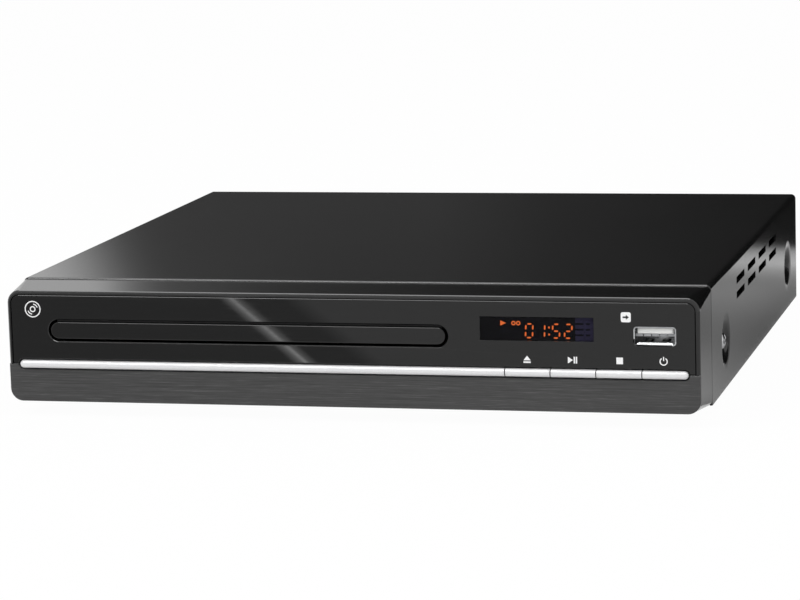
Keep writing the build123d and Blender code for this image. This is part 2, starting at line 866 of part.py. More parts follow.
# Smoked display window set flush in the upper fascia
with BuildPart() as display_window:
    with BuildSketch(facing_front(front_y)):
        with Locations((window_x, window_z)):
            Rectangle(window_width - 2 * usb_gap, window_height - 2 * usb_gap)
    extrude(amount=-fascia_thick)
save(display_window, "display_window")

# Lower fascia: brushed plate out to the edges of the front
with BuildPart() as lower_fascia:
    with BuildSketch(facing_front(front_y)):
        front_outline(0)
        with Locations((0, split_z + front_height / 2)):
            Rectangle(front_width, front_height, mode=Mode.SUBTRACT)
        with Locations((0, split_z)):
            SlotOverall(strip_length + 2 * strip_gap, strip_height + 2 * strip_gap, mode=Mode.SUBTRACT)
    extrude(amount=-plate_thick)
    chamfer(faces().sort_by(Axis.Y)[0].edges(), fascia_edge)
save(lower_fascia, "lower_fascia")


def strip_segment(x0, x1):
    """The stretch of the half-round strip between two stations."""
    with BuildSketch(facing_front(strip_back_y)) as outline:
        with Locations((0, split_z)):
            SlotOverall(strip_length, strip_height)
    extrude(outline.sketch, amount=strip_sink + strip_proud)
    fillet(faces().sort_by(Axis.Y)[0].edges(), strip_round)
    block(x0, x1, front_y - strip_proud - overrun, strip_back_y + overrun, base_z, top_z,
          mode=Mode.INTERSECT)


# Trim strip: the fixed left part of the bright bar
with BuildPart() as trim_strip:
    strip_segment(-half_width, key_left - key_gap / 2)
save(trim_strip, "trim_strip")

# Keys: the right end of the bar, each with a stem to its switch
switch_front_y = front_board_y - switch_thick
stem_end_y = switch_front_y - plunger_proud
for name, x in zip(key_names, key_xs):
    right_x = half_width if x == key_xs[-1] else x + key_pitch / 2 - key_gap / 2
    with BuildPart() as key:
        strip_segment(x - key_pitch / 2 + key_gap / 2, right_x)
        block(x - stem_width / 2, x + stem_width / 2, strip_back_y, stem_end_y,
              split_z - stem_height / 2, split_z + stem_height / 2)
        block(x - collar_width / 2, x + collar_width / 2, wall_back_y + fit_gap,
              wall_back_y + fit_gap + collar_thick, split_z - collar_height / 2,
              split_z + collar_height / 2)
    save(key, f"{name}_key")
    with BuildPart() as plunger:
        bar_y(x, split_z, stem_end_y, switch_front_y + plunger_root, plunger_radius)
    save(plunger, f"{name}_plunger")

# Switch bodies on the front board
with BuildPart() as tact_switches:
    for x in key_xs:
        block(x - switch_size / 2, x + switch_size / 2, switch_front_y, front_board_y,
              split_z - switch_size / 2, split_z + switch_size / 2)
        bar_y(x, split_z, switch_front_y - overrun, switch_front_y + plunger_root + key_travel + slip,
              plunger_radius + fit_gap, mode=Mode.SUBTRACT)
save(tact_switches, "tact_switches")

# Front board
with BuildPart() as front_board:
    block(front_board_left, front_board_right, front_board_y, front_board_y + board_thick,
          front_board_low_z, front_board_high_z)
    for x, z in pillar_spots:
        bar_y(x, z, front_board_y - overrun, front_board_y + board_thick + overrun, screw_hole_radius,
              mode=Mode.SUBTRACT)
save(front_board, "front_board")

# Display module behind its window
with BuildPart() as display_module:
    block(window_x - window_width / 2 - module_margin, window_x + window_width / 2 + module_margin,
          front_y + fascia_thick + fit_gap, front_board_y,
          window_z - window_height / 2 - module_margin, window_z + window_height / 2 + module_margin)
save(display_module, "display_module")

# Remote-control eye behind the fascia
with BuildPart() as ir_receiver:
    block(eye_x - eye_width / 2, eye_x + eye_width / 2, front_board_y - eye_thick, front_board_y,
          eye_z - eye_height / 2, eye_z + eye_height / 2)
    with Locations((eye_x, front_board_y - eye_thick, eye_z)):
        Sphere(eye_hole_radius)
save(ir_receiver, "ir_receiver")

# USB socket: a steel shell and its contact tongue
usb_half_width = usb_width / 2 - usb_gap
usb_half_height = usb_height / 2 - usb_gap
with BuildPart() as usb_shell:
    with BuildSketch(facing_front(front_y)):
        with Locations((usb_x, usb_z)):
            RectangleRounded(2 * usb_half_width, 2 * usb_half_height, usb_corner - usb_gap)
    extrude(amount=front_y - front_board_y)
    with BuildSketch(facing_front(front_y)):
        with Locations((usb_x, usb_z)):
            RectangleRounded(2 * (usb_half_width - usb_wall), 2 * (usb_half_height - usb_wall),
                             usb_corner - usb_gap - usb_wall)
    extrude(amount=front_y + usb_floor - front_board_y, mode=Mode.SUBTRACT)
save(usb_shell, "usb_shell")
tongue_top_z = usb_z + usb_half_height - usb_wall - tongue_drop
with BuildPart() as usb_tongue:
    block(usb_x - tongue_width / 2, usb_x + tongue_width / 2, front_y + tongue_sink,
          front_board_y - usb_floor, tongue_top_z - tongue_thick, tongue_top_z)
    chamfer(faces().sort_by(Axis.Y)[0].edges(), tongue_edge)
save(usb_tongue, "usb_tongue")

# Tray door: the pill-shaped cap on the front of the tray
with BuildPart() as tray_door:
    with BuildSketch(facing_front(front_y)):
        with Locations((tray_x, slot_z)):
            SlotOverall(slot_length - 2 * door_gap, slot_height - 2 * door_gap)
    extrude(amount=-door_thick)
    fillet(faces().sort_by(Axis.Y)[0].edges(), door_bevel)
save(tray_door, "tray_door")

# Disc tray: recesses for both disc sizes, an open slot to the back and a rack under its left side
gear_y = front_y + gear_depth
ledge_inner = tray_width / 2 + tray_clear - ledge_width
rack_pitch_x = tray_x - ledge_inner + rack_gap + rack_body + dedendum_share * rack_module
rack_lead = rack_lead_share * math.pi * rack_module
rack_pinion_radius = rack_module * rack_pinion_teeth / 2
with BuildPart() as disc_tray:
    block(tray_x - tray_width / 2, tray_x + tray_width / 2, tray_front_y, tray_back_y, tray_under_z,
          tray_top_z)
    post(tray_x, spindle_y, disc_z, tray_top_z + overrun, disc_radius + disc_play, mode=Mode.SUBTRACT)
    post(tray_x, spindle_y, small_disc_z, tray_top_z + overrun, small_disc_radius, mode=Mode.SUBTRACT)
    post(tray_x, spindle_y, tray_under_z - overrun, tray_top_z + overrun, tray_window_radius,
         mode=Mode.SUBTRACT)
    block(tray_x - tray_window_radius, tray_x + tray_window_radius, spindle_y, tray_back_y + overrun,
          tray_under_z - overrun, tray_top_z + overrun, mode=Mode.SUBTRACT)
    for side in (-1, 1):
        post(tray_x + side * disc_radius, spindle_y - disc_radius, small_disc_z, tray_top_z + overrun,
             finger_radius, mode=Mode.SUBTRACT)
    rack(rack_pitch_x, rack_body, gear_y, gear_y - rack_lead, gear_y + tray_travel + rack_lead,
         rack_low_z, tray_under_z, rack_module)
save(disc_tray, "disc_tray")

# Loading gears, from the rack down to the pulley
gear_x = rack_pitch_x + rack_pinion_radius
gear_top_z = tray_under_z - slip
wheel_top_z = gear_top_z - rack_pinion_face
wheel_low_z = wheel_top_z - wheel_face
wheel_radius = wheel_module * wheel_teeth / 2
drive_pinion_radius = wheel_module * drive_pinion_teeth / 2
pulley_x = gear_x + wheel_radius + drive_pinion_radius
pulley_top_z = wheel_low_z - 2 * slip
pulley_low_z = pulley_top_z - pulley_face
belt_z = (pulley_low_z + pulley_top_z) / 2
deck_z = pulley_low_z - slip - motor_flange
with BuildPart() as tray_gear:
    gear(gear_x, gear_y, wheel_low_z, wheel_top_z, wheel_module, wheel_teeth, 0)
    gear(gear_x, gear_y, wheel_top_z, gear_top_z, rack_module, rack_pinion_teeth, math.pi)
    post(gear_x, gear_y, wheel_low_z - overrun, gear_top_z + overrun, gear_post_radius + gear_fit,
         mode=Mode.SUBTRACT)
save(tray_gear, "tray_gear")


def pulley(x, y, radius):
    """A grooved pulley at the level of the belt."""
    half_groove = belt_size / 2 + belt_side_gap
    post(x, y, pulley_low_z, belt_z - half_groove, radius)
    post(x, y, belt_z - half_groove, belt_z + half_groove, radius - groove_sink)
    post(x, y, belt_z + half_groove, pulley_top_z, radius)


drive_pinion_phase = mesh_phase(wheel_module, wheel_teeth, 0, drive_pinion_teeth, 0)
with BuildPart() as pulley_gear:
    pulley(pulley_x, gear_y, pulley_radius)
    gear(pulley_x, gear_y, pulley_top_z, wheel_top_z + slip, wheel_module, drive_pinion_teeth,
         drive_pinion_phase)
    post(pulley_x, gear_y, pulley_low_z - overrun, gear_top_z, gear_post_radius + gear_fit,
         mode=Mode.SUBTRACT)
save(pulley_gear, "pulley_gear")

# Loading motor, its pulley with the shaft, and the belt
motor_x = tray_x + motor_offset
motor_y = front_y + motor_depth
with BuildPart() as loading_motor:
    post(motor_x, motor_y, deck_z - motor_height, deck_z, motor_radius)
    post(motor_x, motor_y, deck_z, deck_z + motor_flange, motor_flange_radius)
    post(motor_x, motor_y, deck_z - motor_height / 2, deck_z + motor_flange + overrun,
         motor_shaft_radius + gear_fit, mode=Mode.SUBTRACT)
save(loading_motor, "loading_motor")
with BuildPart() as motor_pulley:
    pulley(motor_x, motor_y, motor_pulley_radius)
    post(motor_x, motor_y, deck_z - motor_height / 2 + slip, pulley_low_z, motor_shaft_radius)
save(motor_pulley, "motor_pulley")


def belt_loop(offset):
    """The closed path round both pulleys, offset outwards from their groove bottoms."""
    with Locations((pulley_x, gear_y)):
        Circle(pulley_radius - groove_sink + offset)
    with Locations((motor_x, motor_y)):
        Circle(motor_pulley_radius - groove_sink + offset)
    make_hull()


with BuildPart() as drive_belt:
    with BuildSketch(Plane.XY.offset(belt_z - belt_size / 2)):
        belt_loop(belt_gap + belt_size)
    extrude(amount=belt_size)
    with BuildSketch(Plane.XY.offset(belt_z - belt_size / 2)):
        belt_loop(belt_gap)
    extrude(amount=belt_size, mode=Mode.SUBTRACT)
save(drive_belt, "drive_belt")

# Loader frame: side walls with tray ledges, a front deck, a rear member and the pivot ears
frame_front_y = front_y + frame_front_depth
frame_back_y = front_y + frame_back_depth
deck_back_y = front_y + deck_back_depth
pivot_y = spindle_y + pivot_behind
traverse_z = floor_z + traverse_rise
pivot_z = traverse_z + traverse_thick / 2
bush_radius = pivot_radius + pivot_fit + bush_wall
ear_in = traverse_half_width + ear_gap
ear_out = ear_in + ear_thick
cam_y = deck_back_y + slip
pin_x = tray_x + pin_offset
pin_arm = pivot_y - cam_y - cam_thick / 2
pin_fall = pin_arm * math.sin(math.radians(tilt_angle))
cam_travel = pin_fall / math.tan(math.radians(cam_slant))
cam_post_y = cam_y - cam_flange / 2
cam_post_xs = (pin_x, pin_x + cam_post_spread)
cam_flange_z = deck_z + slip
cam_flange_top_z = cam_flange_z + cam_flange_thick
guide_ys = (frame_front_y, gear_y + guide_length, frame_back_y - cross_member - guide_length)
with BuildPart() as loader_frame:
    for side in (-1, 1):
        wall_xs = sorted((tray_x + side * (frame_half - frame_wall), tray_x + side * frame_half))
        ledge_xs = sorted((tray_x + side * ledge_inner, tray_x + side * frame_half))
        block(*wall_xs, frame_front_y, frame_back_y, lug_z, bridge_z)
        block(*ledge_xs, frame_front_y, frame_back_y, tray_under_z - slip - ledge_thick,
              tray_under_z - slip)
        for y in guide_ys:
            block(*ledge_xs, y, y + guide_length, tray_top_z + slip, bridge_z)
        ear_xs = sorted((tray_x + side * ear_in, tray_x + side * ear_out))
        block(*ear_xs, pivot_y - ear_reach, frame_back_y - cross_member, pivot_z - ear_reach,
              pivot_z + ear_reach)
    block(tray_x - frame_half, tray_x + frame_half, frame_front_y, deck_back_y, deck_z - deck_thick, deck_z)
    block(tray_x - frame_half, tray_x + frame_half, frame_back_y - cross_member, frame_back_y, lug_z,
          lug_z + cross_member_height)
    for x, y in lug_spots:
        lug_half = lug_size / 2
        block(x - lug_half, x + lug_half, y - lug_half, y + lug_half, lug_z, lug_z + lug_thick)
        post(x, y, lug_z - overrun, lug_z + lug_thick + overrun, screw_hole_radius, mode=Mode.SUBTRACT)
    bar_x(pivot_y, pivot_z, tray_x - ear_out - overrun, tray_x + ear_out + overrun, bush_radius,
          mode=Mode.SUBTRACT)
    post(motor_x, motor_y, deck_z - deck_thick - overrun, deck_z + overrun, motor_radius + fit_gap,
         mode=Mode.SUBTRACT)
    for x, low_z, high_z in ((gear_x, wheel_low_z, gear_top_z), (pulley_x, pulley_low_z, wheel_top_z)):
        post(x, gear_y, deck_z, low_z - slip, gear_post_radius + gear_shoulder)
        post(x, gear_y, low_z - slip, high_z, gear_post_radius)
    for x in cam_post_xs:
        post(x, cam_post_y, deck_z, cam_flange_top_z + slip, cam_post_radius)
        post(x, cam_post_y, cam_flange_top_z + slip, cam_flange_top_z + slip + cam_flange_thick,
             cam_post_head)
save(loader_frame, "loader_frame")

# Rubber bushes in the pivot ears
with BuildPart() as pivot_bushes:
    for side in (-1, 1):
        ear_xs = sorted((tray_x + side * ear_in, tray_x + side * ear_out))
        bar_x(pivot_y, pivot_z, *ear_xs, bush_radius)
        bar_x(pivot_y, pivot_z, tray_x + side * (ear_in + ear_out) / 2 - ear_thick,
              tray_x + side * (ear_in + ear_out) / 2 + ear_thick, pivot_radius + pivot_fit,
              mode=Mode.SUBTRACT)
save(pivot_bushes, "pivot_bushes")

# Clamp bridge over the disc, with the clamper hanging in its hole
puck_low_z = bridge_z - puck_drop
puck_seat_z = bridge_z + bridge_thick + slip
puck_top_z = puck_low_z + puck_height
with BuildPart() as clamp_bridge:
    block(tray_x - frame_half, tray_x + frame_half, spindle_y - bridge_length / 2,
          spindle_y + bridge_length / 2,
          bridge_z, bridge_z + bridge_thick)
    post(tray_x, spindle_y, bridge_z - overrun, bridge_z + bridge_thick + overrun, bridge_hole_radius,
         mode=Mode.SUBTRACT)
save(clamp_bridge, "clamp_bridge")
with BuildPart() as clamper_puck:
    post(tray_x, spindle_y, puck_low_z, puck_top_z, puck_radius)
    post(tray_x, spindle_y, puck_seat_z, puck_seat_z + puck_flange, puck_flange_radius)
    post(tray_x, spindle_y, puck_low_z - overrun, puck_low_z + puck_recess, puck_recess_radius,
         mode=Mode.SUBTRACT)
    post(tray_x, spindle_y, puck_top_z - magnet_thick, puck_top_z + overrun, magnet_radius + fit_gap,
         mode=Mode.SUBTRACT)
save(clamper_puck, "clamper_puck")
with BuildPart() as clamper_magnet:
    post(tray_x, spindle_y, puck_top_z - magnet_thick, puck_top_z, magnet_radius)
save(clamper_magnet, "clamper_magnet")

# Traverse plate: carries the spindle and the sled, and tips about its rear pins
traverse_top_z = traverse_z + traverse_thick
traverse_front_y = spindle_y - traverse_ahead
traverse_back_y = spindle_y + traverse_behind
rod_front_y = spindle_y + rod_start
rod_back_y = spindle_y + rod_end
rod_z = traverse_top_z + rod_rise
lens_y = spindle_y + lens_start
sled_pinion_radius = sled_wheel_module * sled_pinion_teeth / 2
sled_wheel_radius = sled_wheel_module * sled_wheel_teeth / 2
sled_rack_radius = sled_rack_module * sled_rack_teeth / 2
sled_rack_pitch_x = tray_x + pickup_half_width + sled_rack_body + dedendum_share * sled_rack_module
sled_gear_x = sled_rack_pitch_x + sled_rack_radius
sled_gear_y = lens_y + sled_gear_back
sled_motor_y = sled_gear_y + sled_wheel_radius + sled_pinion_radius
sled_wheel_low_z = traverse_top_z + 2 * slip
sled_wheel_top_z = sled_wheel_low_z + sled_wheel_face
sled_rack_low_z = sled_wheel_top_z + slip
sled_rack_top_z = sled_rack_low_z + sled_rack_face
with BuildPart() as traverse_plate:
    block(tray_x - traverse_half_width, tray_x + traverse_half_width, traverse_front_y, traverse_back_y,
          traverse_z, traverse_top_z)
    post(tray_x, spindle_y, traverse_z - overrun, traverse_top_z + overrun, spindle_radius + fit_gap,
         mode=Mode.SUBTRACT)
    block(tray_x - sled_window_half, tray_x + sled_window_half, spindle_y + sled_window_start,
          spindle_y + sled_window_end, traverse_z - overrun, traverse_top_z + overrun,
          mode=Mode.SUBTRACT)
    bar_x(pivot_y, pivot_z, tray_x - ear_out, tray_x + ear_out, pivot_radius)
    bar_y(pin_x, pivot_z, cam_y + slip, traverse_front_y, pin_radius)
    for side in (-1, 1):
        for y in (rod_front_y, rod_back_y - rod_block_length):
            middle_x = tray_x + side * rod_x
            block(middle_x - rod_block / 2, middle_x + rod_block / 2, y, y + rod_block_length,
                  traverse_top_z,
                  rod_z + rod_block / 2)
        bar_y(tray_x + side * rod_x, rod_z, rod_front_y - overrun, rod_back_y + overrun,
              rod_radius + rod_fit,
              mode=Mode.SUBTRACT)
    post(sled_gear_x, sled_gear_y, traverse_top_z, sled_wheel_low_z - slip,
         sled_gear_post_radius + gear_shoulder)
    post(sled_gear_x, sled_gear_y, traverse_top_z, sled_rack_top_z, sled_gear_post_radius)
    post(sled_gear_x, sled_motor_y, traverse_z - overrun, traverse_top_z + overrun,
         sled_pinion_radius + slip, mode=Mode.SUBTRACT)
save(traverse_plate, "traverse_plate")

# Guide rods of the sled
with BuildPart() as guide_rods:
    for side in (-1, 1):
        bar_y(tray_x + side * rod_x, rod_z, rod_front_y, rod_back_y, rod_radius)
save(guide_rods, "guide_rods")

# Spindle motor and the turntable on its shaft
table_z = disc_z + table_lift
spindle_top_z = traverse_top_z + spindle_above
with BuildPart() as spindle_motor:
    post(tray_x, spindle_y, traverse_z - spindle_below, spindle_top_z, spindle_radius)
    post(tray_x, spindle_y, traverse_top_z, traverse_top_z + spindle_flange, spindle_flange_radius)
    post(tray_x, spindle_y, traverse_z, spindle_top_z + overrun, spindle_shaft_radius + gear_fit,
         mode=Mode.SUBTRACT)
save(spindle_motor, "spindle_motor")
with BuildPart() as turntable:
    post(tray_x, spindle_y, traverse_z + slip, table_z, spindle_shaft_radius)
    post(tray_x, spindle_y, spindle_top_z + slip, table_z, collar_radius)
    post(tray_x, spindle_y, table_z - table_thick, table_z, table_radius)
    with Locations((tray_x, spindle_y, table_z + hub_height / 2)):
        Cone(hub_radius, hub_radius - hub_taper, hub_height)
save(turntable, "turntable")

# Optical pickup on its rods, and its lens
lens_top_z = table_z - lens_drop
pickup_low_z = traverse_top_z + slip
pickup_top_z = pickup_low_z + pickup_height
sled_pickup_front_y = lens_y - pickup_front
sled_pickup_back_y = lens_y + pickup_back
sled_rack_lead = rack_lead_share * math.pi * sled_rack_module
with BuildPart() as optical_pickup:
    block(tray_x - pickup_half_width, tray_x + pickup_half_width, sled_pickup_front_y, sled_pickup_back_y,
          pickup_low_z, pickup_top_z)
    block(tray_x - pickup_keel_half, tray_x + pickup_keel_half, sled_pickup_front_y, sled_pickup_back_y,
          pickup_low_z - pickup_keel, pickup_low_z)
    post(tray_x, lens_y, pickup_top_z, lens_top_z, lens_ring_radius)
    post(tray_x, lens_y, lens_top_z - lens_thick + lens_seat, lens_top_z + overrun, lens_radius + fit_gap,
         mode=Mode.SUBTRACT)
    for side in (-1, 1):
        bar_y(tray_x + side * rod_x, rod_z, sled_pickup_front_y - overrun, sled_pickup_back_y + overrun,
              rod_radius + rod_fit, mode=Mode.SUBTRACT)
    rack(sled_rack_pitch_x, sled_rack_body, sled_gear_y, sled_gear_y - sled_travel - sled_rack_lead,
         sled_gear_y + sled_rack_lead, sled_rack_low_z, sled_rack_top_z, sled_rack_module)
save(optical_pickup, "optical_pickup")
with BuildPart() as objective_lens:
    post(tray_x, lens_y, lens_top_z - lens_thick + lens_seat, lens_top_z + lens_seat, lens_radius)
save(objective_lens, "objective_lens")

# Sled gears and motor
with BuildPart() as sled_gear:
    gear(sled_gear_x, sled_gear_y, sled_wheel_low_z, sled_wheel_top_z, sled_wheel_module, sled_wheel_teeth,
         math.pi / 2)
    gear(sled_gear_x, sled_gear_y, sled_wheel_top_z, sled_rack_top_z, sled_rack_module, sled_rack_teeth,
         math.pi)
    post(sled_gear_x, sled_gear_y, sled_wheel_low_z - overrun, sled_rack_top_z + overrun,
         sled_gear_post_radius + gear_fit, mode=Mode.SUBTRACT)
save(sled_gear, "sled_gear")
sled_pinion_phase = mesh_phase(sled_wheel_module, sled_wheel_teeth, math.pi / 2, sled_pinion_teeth,
                               math.pi / 2)
with BuildPart() as sled_pinion:
    gear(sled_gear_x, sled_motor_y, sled_wheel_low_z, sled_wheel_top_z, sled_wheel_module,
         sled_pinion_teeth,
         sled_pinion_phase)
    post(sled_gear_x, sled_motor_y, traverse_z - sled_motor_height / 2, sled_wheel_low_z,
         spindle_shaft_radius)
save(sled_pinion, "sled_pinion")
with BuildPart() as sled_motor:
    post(sled_gear_x, sled_motor_y, traverse_z - sled_motor_height, traverse_z, sled_motor_radius)
    post(sled_gear_x, sled_motor_y, traverse_z - sled_motor_height / 2 - slip, traverse_z + overrun,
         spindle_shaft_radius + gear_fit, mode=Mode.SUBTRACT)
save(sled_motor, "sled_motor")

# Lift cam: slides across the deck's rear edge and lowers the traverse by its slanted slot
with BuildPart() as lift_cam:
    block(pin_x - cam_side, pin_x + cam_travel + cam_side, cam_y, cam_y + cam_thick,
          pivot_z - pin_fall - cam_low / 2, pivot_z + cam_high)
    block(pin_x - cam_side, pin_x + cam_travel + cam_side + cam_post_spread, cam_y - cam_flange,
          cam_y + cam_thick,
          cam_flange_z, cam_flange_top_z)
    with BuildSketch(facing_front(cam_y)):
        with Locations((pin_x + cam_travel / 2, pivot_z - pin_fall / 2)):
            SlotCenterToCenter(math.hypot(cam_travel, pin_fall), 2 * (pin_radius + pin_slot_gap),
                               rotation=-cam_slant)
    extrude(amount=-cam_thick, mode=Mode.SUBTRACT)
    with BuildSketch(Plane.XY.offset(cam_flange_z)):
        for x in cam_post_xs:
            with Locations((x + cam_travel / 2, cam_post_y)):
                SlotCenterToCenter(cam_travel, 2 * (cam_post_radius + slip))
    extrude(amount=cam_flange_thick, mode=Mode.SUBTRACT)
save(lift_cam, "lift_cam")

# Main board with its chip and capacitors
with BuildPart() as main_board:
    block(main_board_left, main_board_right, main_board_front_y, board_back_y, board_z, board_top_z)
    for x, y in board_holes:
        post(x, y, board_z - overrun, board_top_z + overrun, screw_hole_radius, mode=Mode.SUBTRACT)
save(main_board, "main_board")
with BuildPart() as decoder_chip:
    block(chip_x - chip_size / 2, chip_x + chip_size / 2, chip_y - chip_size / 2,
          chip_y + chip_size / 2, board_top_z, board_top_z + chip_thick)
save(decoder_chip, "decoder_chip")
with BuildPart() as board_capacitors:
    for place in range(small_cap_count):
        post(main_board_left + small_cap_inset + small_cap_pitch * place, board_back_y - small_cap_back,
             board_top_z,
             board_top_z + small_cap_height, small_cap_radius)
save(board_capacitors, "board_capacitors")

# Power board with its transformer, capacitors and heat sink
with BuildPart() as power_board:
    block(power_board_left, power_board_right, power_board_front_y, board_back_y, board_z, board_top_z)
    for x, y in board_holes:
        post(x, y, board_z - overrun, board_top_z + overrun, screw_hole_radius, mode=Mode.SUBTRACT)
save(power_board, "power_board")
with BuildPart() as transformer:
    block(core_x - core_width / 2, core_x + core_width / 2, core_y - core_length / 2,
          core_y + core_length / 2,
          board_top_z, board_top_z + core_height)
    block(core_x - core_width / 2 + bobbin_margin, core_x + core_width / 2 - bobbin_margin,
          core_y - core_length / 2 - bobbin_margin, core_y + core_length / 2 + bobbin_margin,
          board_top_z, board_top_z + bobbin_height)
save(transformer, "transformer")
with BuildPart() as power_capacitors:
    post(cap_x, board_back_y - cap_back, board_top_z, board_top_z + big_cap_height, big_cap_radius)
    for place in range(2):
        post(cap_x + out_cap_pitch * place, board_back_y - out_cap_back, board_top_z,
             board_top_z + out_cap_height, out_cap_radius)
save(power_capacitors, "power_capacitors")
sink_y = board_back_y - sink_back
with BuildPart() as power_heatsink:
    block(sink_x, sink_x + sink_thick, sink_y - sink_length / 2, sink_y + sink_length / 2, board_top_z,
          board_top_z + sink_height)
    for place in range(sink_fins):
        y = sink_y + sink_fin_pitch * (place - (sink_fins - 1) / 2)
        block(sink_x - sink_fin, sink_x, y - sink_thick / 2, y + sink_thick / 2, board_top_z,
              board_top_z + sink_height)
save(power_heatsink, "power_heatsink")

# Phono sockets: a moulded block with four plated barrels
jack_end_y = back_y + jack_proud
jack_block_back_y = rear_in_y - socket_gap
with BuildPart() as rca_block:
    block(jack_xs[0] - jack_pitch / 2, jack_xs[-1] + jack_pitch / 2, jack_block_back_y - jack_block_depth,
          jack_block_back_y, board_top_z, board_top_z + jack_block_height)
    for x in jack_xs:
        bar_y(x, jack_z, jack_block_back_y, jack_end_y - jack_nose_sink, jack_radius - jack_wall - fit_gap)
        bar_y(x, jack_z, jack_end_y - jack_bore, jack_end_y + overrun, jack_bore_radius, mode=Mode.SUBTRACT)
save(rca_block, "rca_block")
with BuildPart() as rca_barrels:
    for x in jack_xs:
        bar_y(x, jack_z, jack_block_back_y, jack_end_y, jack_radius)
        bar_y(x, jack_z, jack_block_back_y - overrun, jack_end_y + overrun, jack_radius - jack_wall,
              mode=Mode.SUBTRACT)
save(rca_barrels, "rca_barrels")

# HDMI socket: steel shell with cut lower corners and a contact tongue
hdmi_back_y = rear_out_y + socket_proud
with BuildPart() as hdmi_socket:
    with BuildSketch(facing_front(hdmi_back_y)):
        with Locations((hdmi_x, hdmi_z)):
            Rectangle(hdmi_width, hdmi_height)
        chamfer(vertices().group_by(Axis.Y)[0], hdmi_corner)
        offset(amount=-hdmi_wall, kind=Kind.INTERSECTION, mode=Mode.SUBTRACT)
    extrude(amount=hdmi_depth)
    block(hdmi_x - hdmi_width / 2 + hdmi_corner, hdmi_x + hdmi_width / 2 - hdmi_corner,
          hdmi_back_y - hdmi_depth,
          hdmi_back_y - hdmi_depth + hdmi_corner, hdmi_z - hdmi_height / 2, hdmi_z + hdmi_height / 2)
    block(hdmi_x - hdmi_tongue_width / 2, hdmi_x + hdmi_tongue_width / 2, hdmi_back_y - hdmi_depth,
          hdmi_back_y - hdmi_tongue_sink, hdmi_z - hdmi_tongue / 2, hdmi_z + hdmi_tongue / 2)
save(hdmi_socket, "hdmi_socket")

# SCART socket: a slanted block with two rows of contact slots
with BuildPart() as scart_socket:
    with BuildSketch(facing_front(hdmi_back_y)):
        with Locations((scart_x, scart_z)):
            Rectangle(scart_width, scart_height)
        chamfer(vertices().group_by(Axis.Y)[-1].sort_by(Axis.X)[-1], scart_slant)
    extrude(amount=scart_depth)
    with BuildSketch(facing_front(hdmi_back_y)):
        with Locations((scart_x, scart_z)):
            with GridLocations(scart_slot_pitch, scart_row_pitch, scart_slots, 2):
                Rectangle(scart_slot_width, scart_slot_height)
    extrude(amount=scart_slot_sink, mode=Mode.SUBTRACT)
save(scart_socket, "scart_socket")

# Mains inlet: a two-pin figure-eight socket
with BuildPart() as mains_inlet:
    block(inlet_x - inlet_width / 2, inlet_x + inlet_width / 2, hdmi_back_y - inlet_depth, hdmi_back_y,
          inlet_z - inlet_height / 2, inlet_z + inlet_height / 2)
    with BuildSketch(facing_front(hdmi_back_y)):
        with Locations((inlet_x, inlet_z)):
            SlotOverall(inlet_cavity_width, inlet_cavity_height)
    extrude(amount=inlet_cavity, mode=Mode.SUBTRACT)
    for side in (-1, 1):
        bar_y(inlet_x + side * inlet_pin_pitch / 2, inlet_z, hdmi_back_y - inlet_cavity,
              hdmi_back_y - inlet_cavity + inlet_pin_length, inlet_pin_radius)
save(mains_inlet, "mains_inlet")

# Flat cables: front board to main board, main board to loader, each with its plug
front_cable_z = floor_z + front_cable_rise
front_cable_x = main_board_right - front_cable_inset
loader_cable_x = main_board_left + loader_cable_inset
cable_foot_z = board_top_z + plug_height
front_plug_y = main_board_front_y + front_cable_root
loader_plug_y = main_board_front_y + loader_cable_root
loader_cable_z = cable_foot_z + loader_cable_root
with BuildPart() as ribbon_cables:
    with BuildSketch(Plane.YZ.offset(front_cable_x - front_cable_width / 2)):
        with BuildLine():
            FilletPolyline((front_board_y + board_thick, front_cable_z), (front_plug_y, front_cable_z),
                           (front_plug_y, cable_foot_z), radius=cable_bend)
        trace(line_width=cable_thick)
    extrude(amount=front_cable_width)
    block(front_cable_x - front_cable_width / 2, main_board_right, front_plug_y - plug_length / 2,
          front_plug_y + plug_length / 2, board_top_z, cable_foot_z)
    with BuildSketch(Plane.YZ.offset(loader_cable_x - loader_cable_width / 2)):
        with BuildLine():
            FilletPolyline((frame_back_y, loader_cable_z), (loader_plug_y, loader_cable_z),
                           (loader_plug_y, cable_foot_z), radius=cable_bend)
        trace(line_width=cable_thick)
    extrude(amount=loader_cable_width)
    block(loader_cable_x - loader_cable_width / 2, loader_cable_x + loader_cable_width / 2,
          loader_plug_y - plug_length / 2, loader_plug_y + plug_length / 2, board_top_z, cable_foot_z)
save(ribbon_cables, "ribbon_cables")

# Chassis screws: loader lugs, boards, bezel bosses and the front board's pillars
with BuildPart() as chassis_screws:
    for x, y in lug_spots:
        screw(Plane((x, y, lug_z + lug_thick)))
    for x, y in board_holes:
        screw(Plane((x, y, board_top_z)))
    for x in boss_xs:
        screw(Plane((x, cover_front_y + sheet, boss_z), x_dir=(1, 0, 0), z_dir=(0, 1, 0)))
    for x, z in pillar_spots:
        screw(Plane((x, front_board_y + board_thick, z), x_dir=(1, 0, 0), z_dir=(0, 1, 0)))
save(chassis_screws, "chassis_screws")
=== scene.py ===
# %% [markdown]
# # A compact disc player, dressed for the camera
#
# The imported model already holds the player's real shapes: the folded steel cover, the moulded
# front, the tray and everything behind it. This lesson loads that model as a fixed frame, gives
# each piece the finish of the real one, adds the thin things that a drawing of solids leaves
# out, such as printed symbols and lit digits, and then lights it like a catalogue picture.

# %% Load the frame
import json
import math

import bmesh
import bpy
from mathutils import Matrix, Vector


